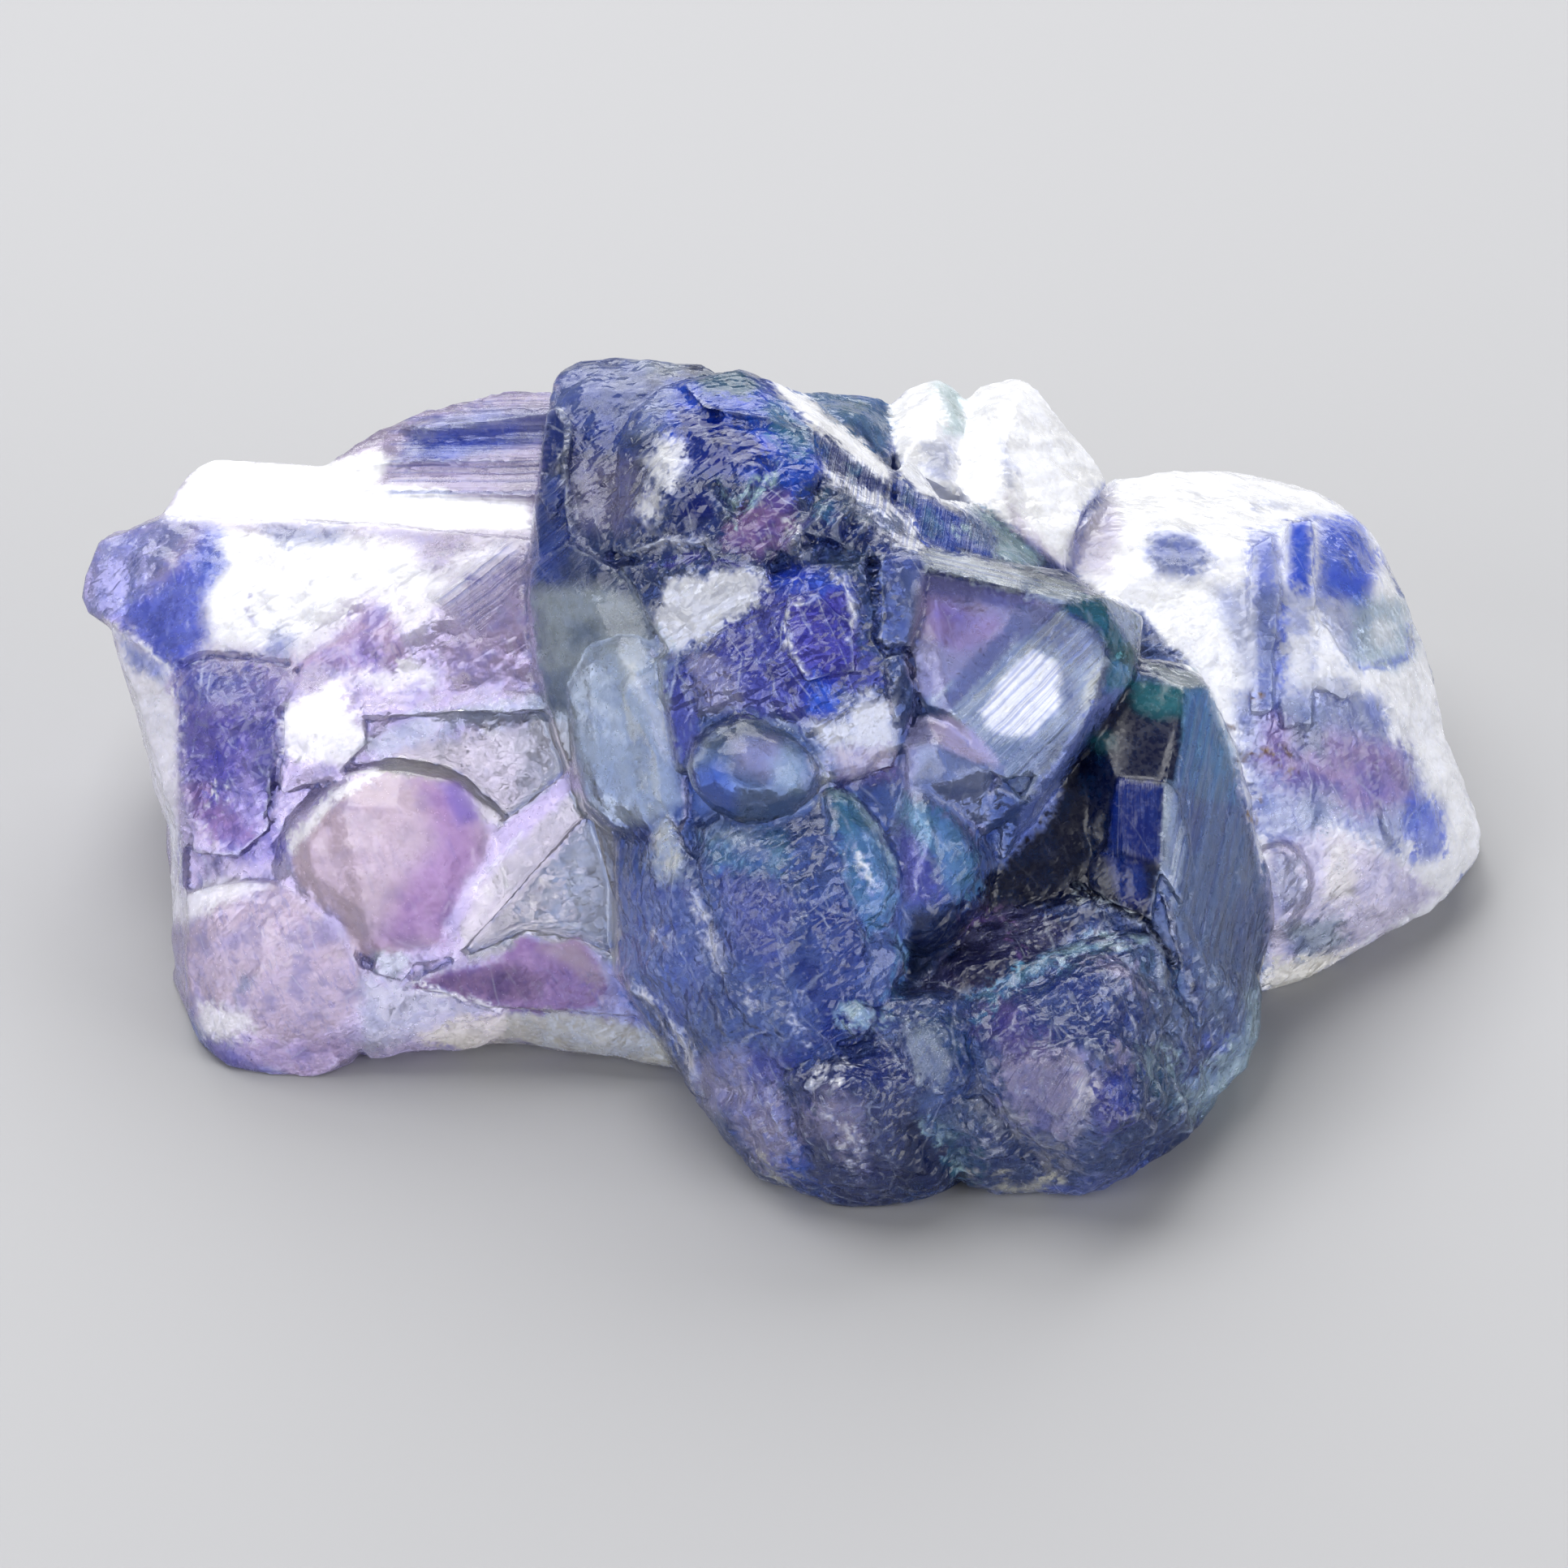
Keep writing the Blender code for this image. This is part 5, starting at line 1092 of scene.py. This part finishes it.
@dataclass
class Stone:
    """The whole cluster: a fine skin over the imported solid, with its relief and its colours.

    Attributes:
        view: How the stone is looked at.
        voxel: The skin's mesh size while it is shaped, in metres.
        rounding: How often the fresh skin is smoothed, which rounds its edges.
        triangles: About how many triangles are kept.
        steps: The size of each kind of growth block and how far it stands out, in millimetres.
        swell: How far the surface swells gently between them, in millimetres.
        ground_fade: The height over which the relief dies out towards the flat base, in millimetres.
        sharp: The angle past which an edge stays sharp, in degrees.
        finish: The mineral's finish.
    """

    view: View
    voxel: float = 0.00015
    rounding: int = 1
    triangles: int = 194000
    steps: Outline = ((3.4, 0.75), (1.5, 0.32), (0.7, 0.16))
    swell: float = 0.05
    ground_fade: float = 0.5
    sharp: float = 32.0
    finish: FluoriteFinish = field(default_factory=FluoriteFinish)

    def build(self, solid: bpy.types.Object) -> bpy.types.Object:
        """Makes the skin and dresses it.

        Args:
            solid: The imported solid.

        Returns:
            The finished stone.
        """
        made = self.skin(solid)
        surface = Surface(made, self.view)
        self.shape_relief(made, surface)
        self.thin(made)
        self.paint(made, surface)
        made.data.materials.clear()
        made.data.materials.append(self.finish.material())
        return made

    def skin(self, solid: bpy.types.Object) -> bpy.types.Object:
        """Covers the solid with an even mesh.

        Args:
            solid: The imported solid.

        Returns:
            A new object with that mesh.
        """
        made = bpy.data.objects.new("fluorite_stone", solid.data.copy())
        bpy.context.scene.collection.objects.link(made)
        weld = made.modifiers.new("weld", "WELD")
        weld.merge_threshold = 0.000001
        remesh = made.modifiers.new("remesh", "REMESH")
        remesh.mode = "VOXEL"
        remesh.voxel_size = self.voxel
        soften = made.modifiers.new("soften", "SMOOTH")
        soften.factor = 0.5
        soften.iterations = self.rounding
        apply_modifiers(made)
        return made

    def brokenness(self, seen: np.ndarray, surface: Surface) -> np.ndarray:
        """How strongly each place is broken into facets, from 0 to 1."""
        facets = np.full(len(seen), 0.45)
        for ground in GROUNDS:
            share = ground.cover(seen, surface)
            facets = facets * (1 - share) + ground.facets * share
        return facets

    def shape_relief(self, made: bpy.types.Object, surface: Surface) -> None:
        """Moves the skin in and out along its normals.

        Args:
            made: The stone.
            surface: Its surface before that.
        """
        places, normals = read_mesh(made.data)
        seen = self.view.seen(places)
        grain = Grain(11)
        broken = self.brokenness(seen, surface)
        waver = grain.smooth(seen, 1.6)
        bends = [waver, grain.smooth(seen + 9.0, 1.6), grain.smooth(seen + 21.0, 1.6)]
        bent = seen + 0.25 * np.stack(bends, axis=1)
        height = self.swell * grain.layered(seen, 2.6, 3)
        for size, depth in self.steps:
            away, _ = grain.cubes(bent + 3.7 * size, size)
            height += (0.12 + 0.88 * broken) * depth * (0.42 - away)
        for patch in STRIAE:
            height += patch.at(seen, waver, surface)
        for crack in CRACKS:
            height -= crack.at(bent)
        height *= eased(places[:, 2] / MM, 0.02, self.ground_fade)
        self.settle(made, places + normals * (height * MM)[:, None])

    def settle(self, made: bpy.types.Object, places: np.ndarray) -> None:
        """Moves the stone's corners to these places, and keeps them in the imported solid's box."""
        low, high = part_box(NODE)
        kept = np.clip(places, np.array(low), np.array(high))
        made.data.vertices.foreach_set("co", kept.astype(np.float32).ravel())
        made.data.update()

    def thin(self, made: bpy.types.Object) -> None:
        """Takes out triangles of the stone where its surface is plain, most of all underneath and behind."""
        places, normals = read_mesh(made.data)
        facing = normals @ self.view.axes()[2]
        levels = np.round((1 - eased(facing, -0.3, 0.25)) * 4).astype(int)
        group = made.vertex_groups.new(name="plain")
        for level in range(5):
            chosen = np.nonzero(levels == level)[0].tolist()
            if chosen:
                group.add(chosen, 0.2 + 0.2 * level, "REPLACE")
        made.data.calc_loop_triangles()
        count = len(made.data.loop_triangles)
        LOG.info("skin before thinning: %d triangles", count)
        thin = made.modifiers.new("thin", "DECIMATE")
        thin.ratio = min(1.0, self.triangles / count)
        thin.vertex_group = "plain"
        thin.vertex_group_factor = 1.0
        thin.use_collapse_triangulate = True
        apply_modifiers(made)
        made.vertex_groups.clear()
        self.settle(made, read_mesh(made.data)[0])
        made.data.polygons.foreach_set("use_smooth", np.ones(len(made.data.polygons), bool))
        made.data.set_sharp_from_angle(angle=math.radians(self.sharp))

    def paint(self, made: bpy.types.Object, surface: Surface) -> None:
        """Stores the colours and what the surface is like on the skin.

        Args:
            made: The stone.
            surface: Its surface before the relief.
        """
        places, _ = read_mesh(made.data)
        seen = self.view.seen(places)
        grain = Grain(29)
        drift = np.stack([grain.layered(seen + shift, 1.8, 4, 0.62) for shift in (0.0, 31.0, 67.0)], axis=1)
        _, cube = grain.cubes(seen, 1.2)
        broken = self.brokenness(seen, surface)
        apart = (0.1 + 0.5 * broken)[:, None]
        shift = 0.5 * grain.slopes[cube] * apart
        tint, nature = self.mixed(seen + 0.9 * apart * drift + shift, surface)
        beside, _ = self.mixed(seen - 1.4 * apart * drift - shift, surface)
        nature[:, 2] = broken
        growth = np.zeros((len(seen), 3))
        for patch in STRIAE:
            share = patch.inside(seen, surface)
            phase = patch.phase(seen, drift[:, 0])
            growth[:, 0] = np.where(share > growth[:, 1], phase, growth[:, 0])
            growth[:, 1] = np.maximum(share, growth[:, 1])
        # The third channel keeps the mesh's edges and grooves, where the finish paints a highlight and shade.
        growth[:, 2] = folds(made.data)
        store(made.data, "tint", tint)
        store(made.data, "tint_beside", beside)
        store(made.data, "nature", nature)
        store(made.data, "growth", growth)

    def mixed(self, seen: np.ndarray, surface: Surface) -> tuple[np.ndarray, np.ndarray]:
        """Lays every patch over the ones before it.

        Args:
            seen: Rows of right, up, near.
            surface: The stone's surface.

        Returns:
            A colour for each row, and how clear, frosted and veined it is.
        """
        body = Tone.PERIWINKLE.value
        colour = np.tile(body.linear(), (len(seen), 1))
        nature = np.tile(np.array([body.clear, body.frost, 0.0]), (len(seen), 1))
        for patch in PAINTING:
            share = patch.cover(seen, surface)[:, None]
            tint = patch.tone.value
            colour = colour * (1 - share) + tint.linear() * share
            nature = nature * (1 - share) + np.array([tint.clear, tint.frost, 0.0]) * share
        return colour, nature


def folds(mesh: bpy.types.Mesh) -> np.ndarray:
    """Finds the mesh's edges and grooves, where the finish paints a highlight and shade.

    Args:
        mesh: The mesh.

    Returns:
        For each corner, how far its neighbours drop away: above 0 on an edge, below 0 in a groove.
    """
    places, normals = read_mesh(mesh)
    ends = np.empty(2 * len(mesh.edges), np.int32)
    mesh.edges.foreach_get("vertices", ends)
    near, far = ends.reshape(-1, 2).T
    step = places[far] - places[near]
    step /= np.linalg.norm(step, axis=1)[:, None] + 1e-12
    drop = np.bincount(near, -np.einsum("ij,ij->i", step, normals[near]), len(places))
    drop += np.bincount(far, np.einsum("ij,ij->i", step, normals[far]), len(places))
    return drop / np.maximum(np.bincount(ends, minlength=len(places)), 1)


def store(mesh: bpy.types.Mesh, name: str, values: np.ndarray) -> None:
    """Keeps three values for each corner as a colour.

    Args:
        mesh: The mesh.
        name: The attribute's name.
        values: Rows of three.
    """
    full = np.ones((len(values), 4), np.float32)
    full[:, :3] = values
    kept = mesh.attributes.new(name, "FLOAT_COLOR", "POINT")
    kept.data.foreach_set("color", full.ravel())


def read_mesh(mesh: bpy.types.Mesh) -> tuple[np.ndarray, np.ndarray]:
    """Reads a mesh's corners and their normals.

    Args:
        mesh: The mesh.

    Returns:
        Two arrays with a row for each corner.
    """
    places = np.empty(len(mesh.vertices) * 3)
    mesh.vertices.foreach_get("co", places)
    normals = np.empty(len(mesh.vertices) * 3)
    mesh.vertex_normals.foreach_get("vector", normals)
    return places.reshape(-1, 3), normals.reshape(-1, 3)


def apply_modifiers(made: bpy.types.Object) -> None:
    """Makes what the modifiers show the object's own mesh."""
    graph = bpy.context.evaluated_depsgraph_get()
    shown = bpy.data.meshes.new_from_object(made.evaluated_get(graph))
    made.modifiers.clear()
    made.data = shown


@dataclass(frozen=True)
class Studio:
    """A pale floor, soft light and the camera.

    Attributes:
        view: How the stone is looked at.
        frame_width: What the picture spans at the middle of the stone, in millimetres.
        lens: The focal length, in millimetres.
        sensor: The sensor's width, in millimetres.
        drop: How far the floor lies under the stone, so that the two don't touch, in metres.
        lamps: Each lamp's name, place and side in metres, and power in watts.
    """

    view: View
    frame_width: float = 67.083
    lens: float = 1500.0
    sensor: float = 36.0
    drop: float = 0.00004
    lamps: tuple[tuple[str, Course, float, float], ...] = (
        ("behind", (0.02, 0.34, 0.30), 0.42, 2.3),
        ("above", (-0.16, 0.04, 0.46), 0.34, 2.0),
        ("front_left", (-0.34, -0.34, 0.26), 0.32, 1.2),
        ("front_right", (0.38, -0.28, 0.14), 0.34, 1.5),
    )

    def build(self) -> None:
        """Adds the floor, the lights, the world and the camera."""
        self.floor()
        for lamp in self.lamps:
            self.light(*lamp)
        self.surroundings()
        self.camera()
        bpy.context.scene.view_settings.view_transform = "Standard"

    def floor(self) -> None:
        """Adds the pale floor."""
        shape = bmesh.new()
        bmesh.ops.create_grid(shape, x_segments=1, y_segments=1, size=1.5)
        mesh = bpy.data.meshes.new("floor")
        shape.to_mesh(mesh)
        shape.free()
        made = bpy.data.objects.new("floor", mesh)
        made.location = (0, 0, -self.drop)
        bpy.context.scene.collection.objects.link(made)
        paint = bpy.data.materials.new("floor_paint")
        paint.use_nodes = True
        shader = paint.node_tree.nodes["Principled BSDF"]
        shader.inputs["Base Color"].default_value = (0.34, 0.34, 0.35, 1)
        shader.inputs["Roughness"].default_value = 0.8
        mesh.materials.append(paint)

    def light(self, name: str, place: Course, size: float, energy: float) -> None:
        """Adds a soft square light that faces the stone.

        Args:
            name: Its name.
            place: Where it stands, in metres.
            size: Its side, in metres.
            energy: Its power, in watts.
        """
        lamp = bpy.data.lights.new(name, "AREA")
        lamp.energy = energy
        lamp.size = size
        made = bpy.data.objects.new(name, lamp)
        made.location = place
        made.rotation_euler = Vector(place).to_track_quat("Z", "Y").to_euler()
        bpy.context.scene.collection.objects.link(made)

    def surroundings(self) -> None:
        """Adds the pale room."""
        world = bpy.data.worlds.new("room")
        world.use_nodes = True
        backdrop = world.node_tree.nodes["Background"]
        backdrop.inputs["Color"].default_value = (0.97, 0.98, 1.0, 1)
        backdrop.inputs["Strength"].default_value = 0.28
        bpy.context.scene.world = world

    def camera(self) -> None:
        """Adds the camera at the photograph's viewing angle."""
        eye = bpy.data.cameras.new("camera")
        eye.lens = self.lens
        eye.sensor_width = self.sensor
        eye.clip_start = 0.01
        eye.clip_end = 10.0
        made = bpy.data.objects.new("camera", eye)
        away = self.frame_width * self.lens / self.sensor
        made.location = self.view.standing(0, 0, away)
        towards = Vector(self.view.axes()[2])
        made.rotation_euler = towards.to_track_quat("Z", "Y").to_euler()
        bpy.context.scene.collection.objects.link(made)
        bpy.context.scene.camera = made


def clear_startup() -> None:
    """Removes what a new file starts with."""
    for old in list(bpy.data.objects):
        bpy.data.objects.remove(old, do_unlink=True)


def main() -> None:
    """Builds the dressed stone, the studio and the camera."""
    logging.basicConfig(level=logging.INFO, format="%(message)s")
    clear_startup()
    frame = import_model()
    view = View()
    stone = Stone(view).build(frame["nodes"][NODE])
    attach(stone, "root")
    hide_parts(NODE)
    LOG.info("stone: %d faces", len(stone.data.polygons))
    Studio(view).build()


if __name__ == "__main__":
    main()
